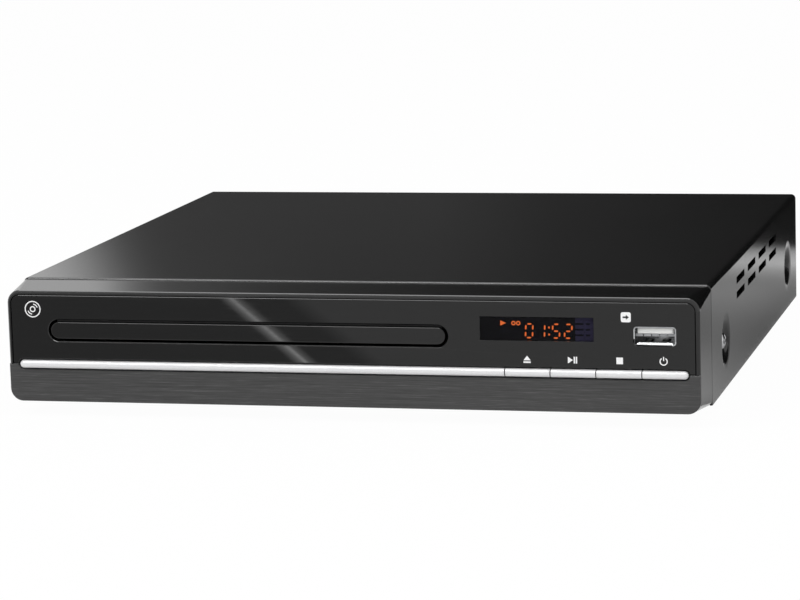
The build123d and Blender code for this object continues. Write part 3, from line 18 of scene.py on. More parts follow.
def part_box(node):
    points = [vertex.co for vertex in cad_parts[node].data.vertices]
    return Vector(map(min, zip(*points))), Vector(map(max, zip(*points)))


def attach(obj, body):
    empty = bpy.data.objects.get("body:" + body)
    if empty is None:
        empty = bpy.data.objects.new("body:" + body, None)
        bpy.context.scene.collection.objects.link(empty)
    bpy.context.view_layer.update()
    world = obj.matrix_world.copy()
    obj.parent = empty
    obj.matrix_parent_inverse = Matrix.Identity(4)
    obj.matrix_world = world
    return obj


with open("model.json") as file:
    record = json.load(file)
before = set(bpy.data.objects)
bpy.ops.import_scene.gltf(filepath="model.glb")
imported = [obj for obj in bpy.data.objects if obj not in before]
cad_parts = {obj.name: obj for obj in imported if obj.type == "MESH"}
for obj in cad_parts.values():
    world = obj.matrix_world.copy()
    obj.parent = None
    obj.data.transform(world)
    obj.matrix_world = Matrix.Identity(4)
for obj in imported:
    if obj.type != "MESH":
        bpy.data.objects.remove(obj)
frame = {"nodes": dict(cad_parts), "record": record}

mm = 0.001
nodes = frame["nodes"]
scene = bpy.context.scene
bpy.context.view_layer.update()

# %% [markdown]
# ## Helpers for finishes
#
# Every finish here starts from Blender's Principled shader. Real surfaces are never one flat
# colour, so each finish feeds the shader with noise at the scale of the real grain: paint peels
# at a third of a millimetre, brushed film has streaks a few centimetres long. All patterns are
# measured in the frame's own metres, so they keep their size on every piece.

# %% Helpers: colours and nodes
finishes = {}
white = (1, 1, 1, 1)


def shade(red, green=None, blue=None):
    """A display colour, 0 to 255, as the linear colour that Blender's sockets take."""
    steps = [(red if value is None else value) / 255 for value in (red, green, blue)]
    linear = (s / 12.92 if s <= 0.04045 else ((s + 0.055) / 1.055) ** 2.4 for s in steps)
    return tuple(linear) + (1.0,)


def start_finish(name, **constants):
    """A new finish, kept by name, whose shader has its constants set on its own sockets."""
    finish = bpy.data.materials.new(name)
    finish.use_nodes = True
    finishes[name] = finish
    shader = finish.node_tree.nodes["Principled BSDF"]
    for socket, value in constants.items():
        shader.inputs[socket.replace("_", " ")].default_value = value
    return finish.node_tree, shader


def add_node(tree, kind, inputs=None, **settings):
    """One node, with its settings and its inputs given as values or as sockets to link."""
    made = tree.nodes.new("ShaderNode" + kind)
    for key, value in settings.items():
        setattr(made, key, value)
    for key, value in (inputs or {}).items():
        if isinstance(value, bpy.types.NodeSocket):
            tree.links.new(value, made.inputs[key])
        else:
            made.inputs[key].default_value = value
    return made


def feed(tree, shader, **sockets):
    """Links patterns to the shader's sockets."""
    for name, socket in sockets.items():
        tree.links.new(socket, shader.inputs[name.replace("_", " ")])


def raise_surface(tree, shader, height, depth):
    """Bumps the surface by depth metres where height is 1."""
    bump = add_node(tree, "Bump", {"Height": height, "Distance": depth})
    tree.links.new(bump.outputs["Normal"], shader.inputs["Normal"])


print("colours and nodes ready")

# %% Helpers: noise and blends
noise_low, noise_high = 0.3, 0.7  # nearly all noise lies between these two


def place_in_frame(tree, stretch=(1, 1, 1)):
    """Points of the surface in metres, squeezed along each axis by stretch."""
    spot = add_node(tree, "TexCoord").outputs["Object"]
    return add_node(tree, "Mapping", {"Vector": spot, "Scale": stretch}).outputs["Vector"]


def grain(tree, size, detail=2.0, stretch=(1, 1, 1), roughness=0.5):
    """Noise whose lumps are about size metres across."""
    return add_node(tree, "TexNoise", {"Vector": place_in_frame(tree, stretch), "Scale": 1 / size,
                                       "Detail": detail, "Roughness": roughness}).outputs["Fac"]


def cell_tone(tree, place, size):
    """One tone for each cell of a pattern whose cells are about size metres across."""
    cells = add_node(tree, "TexVoronoi", {"Vector": place, "Scale": 1 / size}).outputs["Color"]
    return add_node(tree, "SeparateColor", {"Color": cells}).outputs["Red"]


def combine(tree, operation, first, second):
    """Two numbers joined by one step of arithmetic."""
    inputs = {0: first, 1: second}
    return add_node(tree, "Math", inputs, operation=operation).outputs["Value"]


def between(tree, factor, low, high, low_at=noise_low, high_at=noise_high):
    """Turns noise into a number between low and high."""
    return add_node(tree, "MapRange", {"Value": factor, "From Min": low_at, "From Max": high_at,
                                       "To Min": low, "To Max": high}).outputs["Result"]


def blend_colours(tree, factor, *stops):
    """A colour ramp with stops of (place, colour)."""
    ramp = add_node(tree, "ValToRGB", {"Fac": factor})
    bar = ramp.color_ramp.elements
    while len(bar) < len(stops):
        bar.new(0.5)
    for stop, (place, colour) in zip(bar, stops):
        stop.position, stop.color = place, colour
    return ramp.outputs["Color"]


def mottled(tree, noise, dark, light, low_at=noise_low, high_at=noise_high):
    """A colour that drifts between two as the noise does."""
    return blend_colours(tree, noise, (low_at, dark), (high_at, light))


def grained_finish(name, dark, light, rough, lump, lift, cloud=25 * mm, **constants):
    """A moulded, painted or plated surface: cloudy colour, uneven gloss, a fine raised grain."""
    tree, shader = start_finish(name, **constants)
    fine = grain(tree, lump)
    patch = grain(tree, cloud, detail=4)
    feed(tree, shader, Base_Color=mottled(tree, patch, dark, light),
         Roughness=between(tree, fine, *rough))
    raise_surface(tree, shader, fine, lift)


print("noise ready")

# %% [markdown]
# ## The steel cover and its screws
#
# The cover is one sheet of steel, folded over the player and sprayed satin black. Sprayed paint
# dries with a very fine peel, which turns the sharp picture of a studio into the soft grey sheen
# of the sides. A noise of a third of a millimetre, raised by two microns, gives it. The screws
# look dark because they stand in the shade of their dishes: their heads are polished metal.

# %% Finish: cover, rear, screws and feet
grained_finish("cover_paint", shade(15), shade(19), (0.13, 0.20), lump=0.35 * mm,
               lift=0.002 * mm, cloud=60 * mm)
grained_finish("rear_paint", shade(30, 30, 31), shade(38, 38, 39), (0.46, 0.56), lump=0.35 * mm,
               lift=0.012 * mm)
grained_finish("black_screw", shade(158, 158, 160), shade(204, 204, 206), (0.05, 0.10),
               lump=0.3 * mm, lift=0.003 * mm, cloud=2 * mm, Metallic=1.0)
grained_finish("foot_rubber", shade(22), shade(31), (0.62, 0.75), lump=0.4 * mm, lift=0.03 * mm)
print("cover, rear, screw and foot finishes")

# %% [markdown]
# ## The front: gloss, brush and bright trim
#
# Four finishes meet on the front. The moulded bezel is satin black plastic. The upper fascia is
# polished acrylic, black all through, so nearly all that is seen of it is the room. The lower
# fascia carries a brushed film whose streaks run along the front. The strip and its keys are
# plastic sprayed silver: a bright body colour with fine flakes in it, not bare metal.

# %% Finish: bezel plastic and polished black acrylic
def polished_acrylic(ripple_size=22 * mm, lift=0.004 * mm, rub_size=0.6 * mm, rub_squeeze=0.08):
    """Black to the core. A slow ripple from the mould and faint rubbing marks disturb the gloss."""
    tree, shader = start_finish("fascia_acrylic", IOR=1.49)
    ripple = grain(tree, ripple_size, detail=1)
    rubbing = grain(tree, rub_size, detail=3, stretch=(rub_squeeze, 1, 1))
    feed(tree, shader, Base_Color=mottled(tree, rubbing, shade(9), shade(13), high_at=0.8),
         Roughness=between(tree, rubbing, 0.02, 0.045))
    raise_surface(tree, shader, ripple, lift)


grained_finish("bezel_plastic", shade(14), shade(18), (0.10, 0.16), lump=0.3 * mm,
               lift=0.0015 * mm, cloud=40 * mm)
polished_acrylic()
print("bezel and acrylic finishes")

# %% Finish: brushed film
def brushed_film(long_size=0.45 * mm, long_squeeze=0.012, short_size=0.22 * mm, short_squeeze=0.03,
                 lift=0.006 * mm):
    """Streaks along the front: long in X, a fraction of a millimetre in Z, in two lengths."""
    tree, shader = start_finish("fascia_brushed", Specular_IOR_Level=0.35)
    long_streaks = grain(tree, long_size, detail=4, stretch=(long_squeeze, 1, 1), roughness=0.65)
    short_streaks = grain(tree, short_size, detail=3, stretch=(short_squeeze, 1, 1), roughness=0.7)
    both = combine(tree, "ADD", long_streaks, short_streaks)
    tones = ((0.0, shade(48)), (0.45, shade(58)), (0.75, shade(66)), (1.0, shade(84)))
    level = between(tree, both, 0, 1, 0.72, 1.28)
    feed(tree, shader, Base_Color=blend_colours(tree, level, *tones),
         Roughness=between(tree, both, 0.34, 0.46, 0.7, 1.3))
    raise_surface(tree, shader, both, lift)


brushed_film()
print("brushed finish")

# %% Finish: silver trim
def silver_trim(flake=0.05 * mm, lift=0.0003 * mm):
    """Sprayed silver: pale and even, with flakes that each tilt a little."""
    tree, shader = start_finish("bright_trim", Metallic=0.1)
    level = cell_tone(tree, place_in_frame(tree), flake)
    pale, paler = shade(214, 214, 215), shade(228, 228, 229)
    feed(tree, shader, Base_Color=mottled(tree, level, pale, paler, 0, 1),
         Roughness=between(tree, level, 0.20, 0.28, 0, 1))
    raise_surface(tree, shader, level, lift)


silver_trim()
print("trim finish")

# %% [markdown]
# ## The display window
#
# The window is smoked acrylic. Light goes through it, dimmed by its tint, so the lit digits
# behind it glow while the unlit ones almost vanish. Nothing is painted on the window itself.

# %% Finish: smoked window and lens
def clear_finish(name, tint, rough, index, haze_size=0.8 * mm, haze_dims=0.94):
    """Glass or acrylic that light goes through, with a faint haze of fine rubbing."""
    tree, shader = start_finish(name, Transmission_Weight=1.0, IOR=index)
    haze = grain(tree, haze_size, detail=3)
    hazy = tuple(haze_dims * c for c in tint[:3]) + (1.0,)
    feed(tree, shader, Base_Color=mottled(tree, haze, tint, hazy, high_at=0.75),
         Roughness=between(tree, haze, *rough))


clear_finish("smoked_window", shade(112, 110, 124), (0.01, 0.03), 1.18)
clear_finish("lens_glass", shade(205, 216, 240), (0.0, 0.02), 1.52)
print("clear finishes")

# %% [markdown]
# ## Sheet steel, sockets and motors
#
# Inside, the pan and the loader's plates are galvanised: zinc freezes in flat crystals, which a
# cell pattern shows as patches of slightly different gloss. Sockets are nickel plated and motor
# cans are drawn steel, both smoother and finer.

# %% Finish: metals
def galvanised_sheet(crystal=4 * mm, wander=0.004, bend=3 * mm, lump=0.4 * mm, lift=0.004 * mm):
    """Zinc crystals a few millimetres across, each with its own tone and gloss."""
    tree, shader = start_finish("zinc_sheet", Metallic=1.0)
    bent = add_node(tree, "MixRGB", {"Fac": wander, "Color1": place_in_frame(tree),
                                     "Color2": grain(tree, bend, detail=3)})
    tone = cell_tone(tree, bent.outputs["Color"], crystal)
    dark, light = shade(168, 170, 173), shade(196, 198, 200)
    feed(tree, shader, Base_Color=mottled(tree, tone, dark, light, 0, 1),
         Roughness=between(tree, tone, 0.30, 0.46, 0, 1))
    raise_surface(tree, shader, grain(tree, lump), lift)


galvanised_sheet()
grained_finish("socket_steel", shade(184, 185, 186), shade(202, 203, 204), (0.16, 0.27),
               lump=0.25 * mm, lift=0.002 * mm, cloud=5 * mm, Metallic=1.0)
grained_finish("motor_steel", shade(172, 173, 176), shade(190, 191, 193), (0.26, 0.36),
               lump=0.3 * mm, lift=0.004 * mm, cloud=8 * mm, Metallic=1.0)
grained_finish("heat_sink", shade(176, 178, 181), shade(200, 202, 204), (0.36, 0.48),
               lump=0.4 * mm, lift=0.008 * mm, cloud=12 * mm, Metallic=1.0)
grained_finish("magnet", shade(52, 50, 48), shade(74, 72, 70), (0.42, 0.58),
               lump=0.35 * mm, lift=0.015 * mm, cloud=4 * mm, Metallic=0.5)
print("metal finishes")

# %% [markdown]
# ## Plastics, boards and cables
#
# The loader's parts are moulded: black frame, dark tray with a spark-eroded texture, ivory acetal
# gears. Boards are green lacquer over copper, so a pattern of thin lines shows the traces.

# %% Finish: plastics and rubber
grained_finish("tray_plastic", shade(31, 31, 32), shade(38, 38, 39), (0.44, 0.56),
               lump=0.28 * mm, lift=0.02 * mm)
grained_finish("black_plastic", shade(20), shade(28), (0.40, 0.52), lump=0.3 * mm, lift=0.012 * mm)
grained_finish("switch_plastic", shade(30, 30, 32), shade(44, 44, 46), (0.36, 0.48),
               lump=0.25 * mm, lift=0.008 * mm)
grained_finish("pale_plastic", shade(226, 226, 224), shade(238, 238, 236), (0.30, 0.42),
               lump=0.3 * mm, lift=0.006 * mm)
grained_finish("gear_plastic", shade(222, 218, 206), shade(236, 233, 224), (0.30, 0.40),
               lump=0.3 * mm, lift=0.006 * mm, Subsurface_Weight=0.08)
grained_finish("belt_rubber", shade(18), shade(27), (0.55, 0.70), lump=0.25 * mm, lift=0.02 * mm)
grained_finish("capacitor_sleeve", shade(26, 34, 58), shade(36, 46, 74), (0.22, 0.32),
               lump=0.4 * mm, lift=0.004 * mm)
print("plastic finishes")

# %% Finish: circuit board and flat cable
def lacquered_board(trace=0.25 * mm, length=7 * mm, apart=1.6 * mm, lump=0.6 * mm, lift=0.03 * mm):
    """Green lacquer with copper traces showing as paler lines."""
    tree, shader = start_finish("circuit_board")
    greens = {"Color1": shade(20, 74, 44), "Color2": shade(24, 82, 48),
              "Mortar": shade(64, 122, 78)}
    sizes = {"Scale": 1.0, "Mortar Size": trace, "Brick Width": length, "Row Height": apart}
    traces = add_node(tree, "TexBrick", {"Vector": place_in_frame(tree), **sizes, **greens}).outputs
    feed(tree, shader, Base_Color=traces["Color"],
         Roughness=between(tree, grain(tree, lump), 0.26, 0.38))
    raise_surface(tree, shader, traces["Fac"], lift)


def flat_cable(wave=6.3 * mm, lump=0.8 * mm, lift=0.04 * mm):
    """Pale film with dark conductors. Blender's wave repeats about three times in its size."""
    tree, shader = start_finish("cable")
    inputs = {"Vector": place_in_frame(tree), "Scale": 1 / wave}
    lines = add_node(tree, "TexWave", inputs, bands_direction="X").outputs["Fac"]
    wire, film = shade(150, 152, 158), shade(224, 226, 230)
    feed(tree, shader, Base_Color=mottled(tree, lines, wire, film, 0.35, 0.6),
         Roughness=between(tree, grain(tree, lump), 0.28, 0.40))
    raise_surface(tree, shader, lines, lift)


lacquered_board()
flat_cable()
print("finishes made:", len(finishes))

# %% [markdown]
# ## Dressing the solids
#
# The record names a material slot for each solid, so one loop puts each finish on its pieces.
# The solids have their own bevels and hems, which catch the light as thin bright rims. The two
# polished pieces get a finer rounding on top, as polished acrylic has no crisp edge.

# %% Put the finishes on
slot_of = {part["node"]: part["material_slot"] for part in frame["record"]["subparts"]}
for name, solid in nodes.items():
    solid.data.materials.clear()
    solid.data.materials.append(finishes[slot_of[name]])
print("dressed", len(nodes), "solids")

# %% Soften the gloss pieces
def soften(name, width=0.12 * mm, segments=2, join=0.002 * mm, sharper_than=40):
    """Joins the solid's split corners, then rounds its sharp edges by width."""
    weld = nodes[name].modifiers.new("join corners", "WELD")
    weld.merge_threshold = join
    rim = nodes[name].modifiers.new("rounded rim", "BEVEL")
    rim.width, rim.segments, rim.limit_method = width, segments, "ANGLE"
    rim.angle_limit = math.radians(sharper_than)
    rim.harden_normals = True


gloss_pieces = ("upper_fascia", "tray_door")
for name in gloss_pieces:
    soften(name)
print("softened", *gloss_pieces)

# %% [markdown]
# ## Printed symbols
#
# The four key symbols are screen printed in white on the acrylic. Ink stands a few hundredths of
# a millimetre proud, so each symbol is a thin plate raised from a drawn outline, set on the
# fascia's face above its key, and a little to one side of the key's middle, as printing drifts.
# Outlines are drawn flat, in millimetres, and then stood up against the front.

# %% Helpers: pieces and raised plates
def add_piece(name, mesh, finish):
    """Puts a mesh into the scene as a piece that rides on the cabinet."""
    mesh.materials.append(finishes[finish])
    piece = bpy.data.objects.new(name, mesh)
    scene.collection.objects.link(piece)
    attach(piece, "cabinet")


def close_shape(name, shape, smooth=False):
    """Turns a drawn shape into a mesh whose faces all look outwards."""
    bmesh.ops.recalc_face_normals(shape, faces=shape.faces)
    mesh = bpy.data.meshes.new(name)
    shape.to_mesh(mesh)
    shape.free()
    if smooth:
        mesh.shade_smooth()
    return mesh


def raised_plate(name, outlines, face_y, thickness, finish, join=0.001 * mm):
    """Thin plates standing proud of a face that looks to the front. Outlines are in millimetres."""
    sheet = bmesh.new()
    for outline in outlines:
        sheet.faces.new([sheet.verts.new((x * mm, face_y, z * mm)) for x, z in outline])
    bmesh.ops.remove_doubles(sheet, verts=sheet.verts, dist=join)
    bmesh.ops.recalc_face_normals(sheet, faces=sheet.faces)
    for face in sheet.faces:
        if face.normal.y > 0:
            face.normal_flip()
    front = bmesh.ops.extrude_face_region(sheet, geom=list(sheet.faces))["geom"]
    corners = [item for item in front if isinstance(item, bmesh.types.BMVert)]
    bmesh.ops.translate(sheet, vec=(0, -thickness, 0), verts=corners)
    add_piece(name, close_shape(name, sheet), finish)


print("pieces ready")

# %% Helpers: outlines and ink
def rectangle(x, z, width, height):
    """An upright rectangle round its middle."""
    return [(x - width / 2, z - height / 2), (x + width / 2, z - height / 2),
            (x + width / 2, z + height / 2), (x - width / 2, z + height / 2)]


def arc_band(x, z, radius, stroke, start, end, steps=40):
    """Quads round a ring, from start to end degrees, as one list of outlines."""
    angles = [math.radians(start + (end - start) * step / steps) for step in range(steps + 1)]
    inner, outer = [[(x + reach * math.cos(angle), z + reach * math.sin(angle)) for angle in angles]
                    for reach in (radius - stroke / 2, radius + stroke / 2)]
    return [[inner[i], inner[i + 1], outer[i + 1], outer[i]] for i in range(steps)]


def printed_ink(name, thin, full, weave_size=0.15 * mm, lift=0.004 * mm):
    """Ink with the faint weave of the screen that it was pressed through."""
    tree, shader = start_finish(name, Specular_IOR_Level=0.35)
    weave = grain(tree, weave_size)
    feed(tree, shader, Base_Color=mottled(tree, weave, shade(thin), shade(full)),
         Roughness=between(tree, weave, 0.45, 0.6))
    raise_surface(tree, shader, weave, lift)


fascia_low, fascia_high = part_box("upper_fascia")
ink_thickness = 0.03 * mm
printed_ink("white_ink", 232, 246)
printed_ink("black_ink", 30, 24)
print("two inks ready")

# %% Draw the key symbols
symbol_rise, stop_size = 4.1, 2.05
symbol_z = fascia_low.z / mm + symbol_rise
print_drift = {"eject": -0.1, "play": -0.15, "stop": 0.25, "power": -0.55}
symbol_x = {key: (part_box(f"{key}_key")[0].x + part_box(f"{key}_key")[1].x) / 2 / mm + drift
            for key, drift in print_drift.items()}


def eject_symbol(x, z, width=2.3, rise=1.45, bar=0.5, gap=0.32):
    foot = z - (rise + gap + bar) / 2
    base = foot + bar + gap
    return [rectangle(x, foot + bar / 2, width, bar),
            [(x - width / 2, base), (x + width / 2, base), (x, base + rise)]]


def play_pause_symbol(x, z, width=2.9, height=2.1, bar=0.42, arrow_share=0.55, bar_pitch=1.6):
    left, right = x - width / 2, x + width / 2
    return [[(left, z - height / 2), (left + arrow_share * width, z), (left, z + height / 2)],
            rectangle(right - bar_pitch * bar - bar / 2, z, bar, height),
            rectangle(right - bar / 2, z, bar, height)]


def power_symbol(x, z, radius=1.1, stroke=0.34, opening=64, bar_at=0.75, bar_share=1.15):
    ring = arc_band(x, z, radius, stroke, 90 + opening / 2, 450 - opening / 2)
    return ring + [rectangle(x, z + bar_at * radius, stroke, bar_share * radius)]


key_symbols = (eject_symbol(symbol_x["eject"], symbol_z)
               + play_pause_symbol(symbol_x["play"], symbol_z)
               + [rectangle(symbol_x["stop"], symbol_z, stop_size, stop_size)]
               + power_symbol(symbol_x["power"], symbol_z))
raised_plate("key_symbols", key_symbols, fascia_low.y, ink_thickness, "white_ink")
print("printed", len(key_symbols), "outlines for four keys")

# %% [markdown]
# ## Marks without a name
#
# Where a maker would put words, this player has plain pictures: a disc at the upper left, which
# says what goes into the tray, and a small white square with an arrow beside the USB socket.

# %% Draw the two plain marks
def disc_mark(x, z, radius=2.5, stroke=0.34, hole=0.32, glint=0.66, glint_from=20, glint_to=80):
    """A disc's rim, its hole and two glints that face each other."""
    return (arc_band(x, z, radius, stroke, 0, 360, 64)
            + arc_band(x, z, hole * radius, stroke, 0, 360, 32)
            + arc_band(x, z, glint * radius, stroke, glint_from, glint_to, 12)
            + arc_band(x, z, glint * radius, stroke, glint_from + 180, glint_to + 180, 12))


def rounded_square(x, z, size=3.1, corner=0.6, steps=6):
    """A filled square with round corners, as one outline."""
    reach = size / 2 - corner
    outline = []
    for quarter, (side_x, side_z) in enumerate(((1, 1), (-1, 1), (-1, -1), (1, -1))):
        for step in range(steps + 1):
            turn = math.radians(90 * (quarter + step / steps))
            outline.append((x + side_x * reach + corner * math.cos(turn),
                            z + side_z * reach + corner * math.sin(turn)))
    return outline


def arrow_right(x, z, length=1.9, shaft=0.5, head=1.5, head_at=0.03):
    middle = x + head_at * length
    return [rectangle((x - length / 2 + middle) / 2, z, middle - x + length / 2, shaft),
            [(middle, z - head / 2), (x + length / 2, z), (middle, z + head / 2)]]


usb_low, usb_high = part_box("usb_shell")
disc_inset, disc_drop, plug_inset, plug_rise = 7.4, 4.6, 2.3, 2.85
disc_place = fascia_low.x / mm + disc_inset, fascia_high.z / mm - disc_drop
plug_place = usb_low.x / mm - plug_inset, usb_high.z / mm + plug_rise
raised_plate("disc_mark", disc_mark(*disc_place), fascia_low.y, ink_thickness, "white_ink")
raised_plate("plug_mark", [rounded_square(*plug_place)], fascia_low.y, ink_thickness, "white_ink")
raised_plate("plug_arrow", arrow_right(*plug_place), fascia_low.y - ink_thickness, ink_thickness,
             "black_ink")
print("marks at", round(disc_place[0], 1), round(plug_place[0], 1), "mm")

# %% [markdown]
# ## The lit digits
#
# Behind the window a module shows the time in seven-segment digits. Each segment is a six-sided
# bar with a gap at its ends. Segments that are on glow orange, and those that are off are only a
# shade paler than the module, as on the real display.

# %% Draw the digits
module_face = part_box("display_module")[0].y
window_low, window_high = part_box("display_window")
window_left, window_right = window_low.x / mm, window_high.x / mm
digit_height, digit_width, segment_width, lean = 4.3, 2.2, 0.46, math.radians(3)
digit_rise, digit_steps, figures = 2.83, (15.15, 18.9, 23.6, 27.4), "0152"
digit_z = window_low.z / mm + digit_rise
lit_parts = {"0": "abcdef", "1": "bc", "5": "afgcd", "2": "abged"}


def segment(x, z, length, upright):
    """A bar with pointed ends, lying down or standing, leaning as its digit does."""
    half, side = length / 2, segment_width / 2
    shape = [(-half, 0), (-half + side, -side), (half - side, -side),
             (half, 0), (half - side, side), (-half + side, side)]
    bar = [(x + (b if upright else a), z + (a if upright else b)) for a, b in shape]
    return [(bar_x + (bar_z - digit_z) * math.tan(lean), bar_z) for bar_x, bar_z in bar]


def digit_parts(x, across_gap=0.35, tall_gap=0.45):
    """All seven segments of one digit, by letter."""
    half_w, half_h = digit_width / 2, digit_height / 2
    across, tall = digit_width - segment_width - across_gap, half_h - segment_width / 2 - tall_gap
    upper, lower = digit_z + half_h / 2, digit_z - half_h / 2
    places = {"a": (x, digit_z + half_h, across, False), "g": (x, digit_z, across, False),
              "d": (x, digit_z - half_h, across, False),
              "f": (x - half_w, upper, tall, True), "b": (x + half_w, upper, tall, True),
              "e": (x - half_w, lower, tall, True), "c": (x + half_w, lower, tall, True)}
    return {letter: segment(*place) for letter, place in places.items()}


lit, unlit = [], []
for step, figure in zip(digit_steps, figures):
    for letter, outline in digit_parts(window_left + step).items():
        (lit if letter in lit_parts[figure] else unlit).append(outline)
print(len(lit), "lit and", len(unlit), "unlit segments")

# %% Draw the colon and the small signs
colon_step, colon_apart, dot_width, bar_height = 21.4, 1.1, 0.5, 0.55
sign_drop, play_step, play_half, play_rise = 2.1, 7.0, 0.9, 0.8
ring_step, ring_apart, ring_radius, ring_stroke = 11.0, 0.75, 0.52, 0.34
row_count, row_pitch, row_bars = 3, 1.75, ((4.6, 2.6), (1.9, 1.3))  # bars as (inset, width)
foot_bars, foot_pitch, foot_drop, foot_width = 3, 1.9, 2.6, 1.2
sign_z = window_high.z / mm - sign_drop
play_x, ring_x = window_left + play_step, window_left + ring_step

lit += [rectangle(window_left + colon_step, digit_z + dz, dot_width, bar_height)
        for dz in (-colon_apart, colon_apart)]
lit.append([(play_x - play_half, sign_z - play_rise), (play_x + play_half, sign_z),
            (play_x - play_half, sign_z + play_rise)])
for side in (-1, 1):
    lit += arc_band(ring_x + side * ring_apart, sign_z, ring_radius, ring_stroke, 0, 360, 24)
unlit += [rectangle(window_right - inset, sign_z - row_pitch * row, width, bar_height)
          for row in range(row_count) for inset, width in row_bars]
unlit += [rectangle(play_x + foot_pitch * place, sign_z - foot_drop, foot_width, bar_height)
          for place in range(foot_bars)]
print(len(lit), "lit and", len(unlit), "unlit outlines in all")

# %% Make the segments glow
def glowing_finish(name, deep, bright, dot=0.25 * mm):
    """A film that gives light, a little uneven from dot to dot."""
    tree, shader = start_finish(name, Emission_Strength=4.2)
    glow = mottled(tree, grain(tree, dot, detail=1), deep, bright)
    feed(tree, shader, Base_Color=glow, Emission_Color=glow)


def sleeping_finish(name, dark, light, dot, detail):
    """The same kind of film without its light."""
    tree, shader = start_finish(name, Specular_IOR_Level=0.3)
    dots = grain(tree, dot, detail)
    feed(tree, shader, Base_Color=mottled(tree, dots, dark, light),
         Roughness=between(tree, dots, 0.4, 0.6))


glowing_finish("lit_segment", shade(255, 112, 38), shade(255, 140, 66))
sleeping_finish("unlit_segment", shade(50, 46, 62), shade(60, 55, 72), dot=0.25 * mm, detail=1)
# The film under the sleeping indicators is pale violet, which looks navy through the window.
sleeping_finish("indicator_film", shade(192, 188, 228), shade(206, 202, 242), dot=0.4 * mm,
                detail=2)
cell_inset, cell_rows, cell_columns, cell_width, cell_gap = 5.9, 4, 2, 2.8, 0.06
cell_left, cell_foot = window_right - cell_inset, window_low.z / mm
cell_height = (window_high.z - window_low.z) / mm / cell_rows
cells = [rectangle(cell_left + cell_width * (column + 0.5), cell_foot + cell_height * (row + 0.5),
                   cell_width - cell_gap, cell_height - cell_gap)
         for row in range(cell_rows) for column in range(cell_columns)]
film_thickness, segment_thickness = 0.02 * mm, 0.05 * mm
raised_plate("indicator_cells", cells, module_face, film_thickness, "indicator_film")
raised_plate("lit_segments", lit, module_face, segment_thickness, "lit_segment")
raised_plate("unlit_segments", unlit, module_face, segment_thickness, "unlit_segment")
print("display shows its time")

# %% [markdown]
# ## Inside the USB socket
#
# Looking into the socket one sees the pale tongue at the top, with its contacts below it, and two
# springs that were punched from the shell's floor and bowed upwards to grip the plug. A black
# moulding stands behind them. The shell's edge is painted a duller grey at the top and the right,
# and black at the lower left: both are painted shade, where the mouth lies in shadow. Along the
# bottom it is rolled to a bright lip.

# %% Helpers: springs and lip
tongue_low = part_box("usb_tongue")[0]
usb_x = (usb_low.x + usb_high.x) / 2


def skin(rows):
    """A skin over rows of points, each row a closed ring, with both ends filled."""
    shape = bmesh.new()
    rings = [[shape.verts.new(point) for point in row] for row in rows]
    around = len(rings[0])
    for a, b in zip(rings, rings[1:]):
        for i in range(around):
            shape.faces.new((a[i], a[(i + 1) % around], b[(i + 1) % around], b[i]))
    shape.faces.new(rings[0][::-1])
    shape.faces.new(rings[-1])
    return shape


def bowed_spring(name, x, width=1.9 * mm, length=8.5 * mm, bow=0.85 * mm, sheet=0.25 * mm,
                 above=0.32 * mm, behind=0.4 * mm, waist=0.72, widest_at=0.2, steps=14):
    """A strip that leaves the floor in front, rises in a half sine and comes down behind."""
    rows = []
    for share in (step / steps for step in range(steps + 1)):
        y = tongue_low.y + behind + length * share
        z = usb_low.z + above + bow * math.sin(math.pi * share)
        swell = math.cos(math.pi * (share - widest_at)) ** 2
        half = width * (waist + (1 - waist) * swell) / 2
        rows.append([(x - half, y, z), (x + half, y, z), (x + half, y, z + sheet),
                     (x - half, y, z + sheet)])
    add_piece(name, close_shape(name, skin(rows), smooth=True), "socket_steel")


def flared_lip(name, reach=5.95 * mm, deep=0.95 * mm, tall=1.05 * mm, above=0.08 * mm,
               round_off=0.7 * mm, end_share=0.35, steps=24, turns=8):
    """The rolled edge along the bottom of the mouth, its ends rounded off."""
    back, foot = usb_low.y + deep, usb_low.z + above
    angles = [math.pi / 2 * turn / turns for turn in range(turns + 1)]
    rows = []
    for step in range(steps + 1):
        x = -reach + 2 * reach * step / steps
        near_end = max(0.0, (abs(x) - reach + round_off) / round_off)
        rise = tall * (end_share + (1 - end_share) * math.sqrt(1 - near_end ** 2))
        arc = [(back - deep * math.sin(angle), foot + rise * math.cos(angle)) for angle in angles]
        rows.append([(usb_x + x, y, z) for y, z in arc + [(back, foot)]])
    add_piece(name, close_shape(name, skin(rows), smooth=True), "socket_steel")


print("springs and lip ready")

# %% Draw the edges, the moulding and the contacts
def painted_shade_outline(corner=1.2, stroke=0.33, upright=3.4):
    """The edge along the top and the right of the mouth, painted a duller grey as painted shade."""
    left, right, top = usb_low.x / mm, usb_high.x / mm, usb_high.z / mm
    bend = corner - stroke / 2
    return (arc_band(left + corner, top - corner, bend, stroke, 90, 150, 8)
            + [rectangle((left + right) / 2, top - stroke / 2, right - left - 2 * corner, stroke)]
            + arc_band(right - corner, top - corner, bend, stroke, 0, 90, 12)
            + [rectangle(right - stroke / 2, top - corner - upright / 2, stroke, upright)])


def painted_shadow_outline(corner=1.2, stroke=0.36, upright=0.9, thin=0.16):
    """Painted shadow: a black edge round the lower left corner and under the lip, thinner to the
    right.
    """
    left, right, foot = usb_low.x / mm, usb_high.x / mm, usb_low.z / mm
    return ([rectangle(left + stroke / 2, foot + corner + upright / 2, stroke, upright)]
            + arc_band(left + corner, foot + corner, corner - stroke / 2, stroke, 180, 270, 12)
            + [[(left + corner, foot), (right - corner, foot), (right - corner, foot + thin),
                (left + corner, foot + stroke)]])


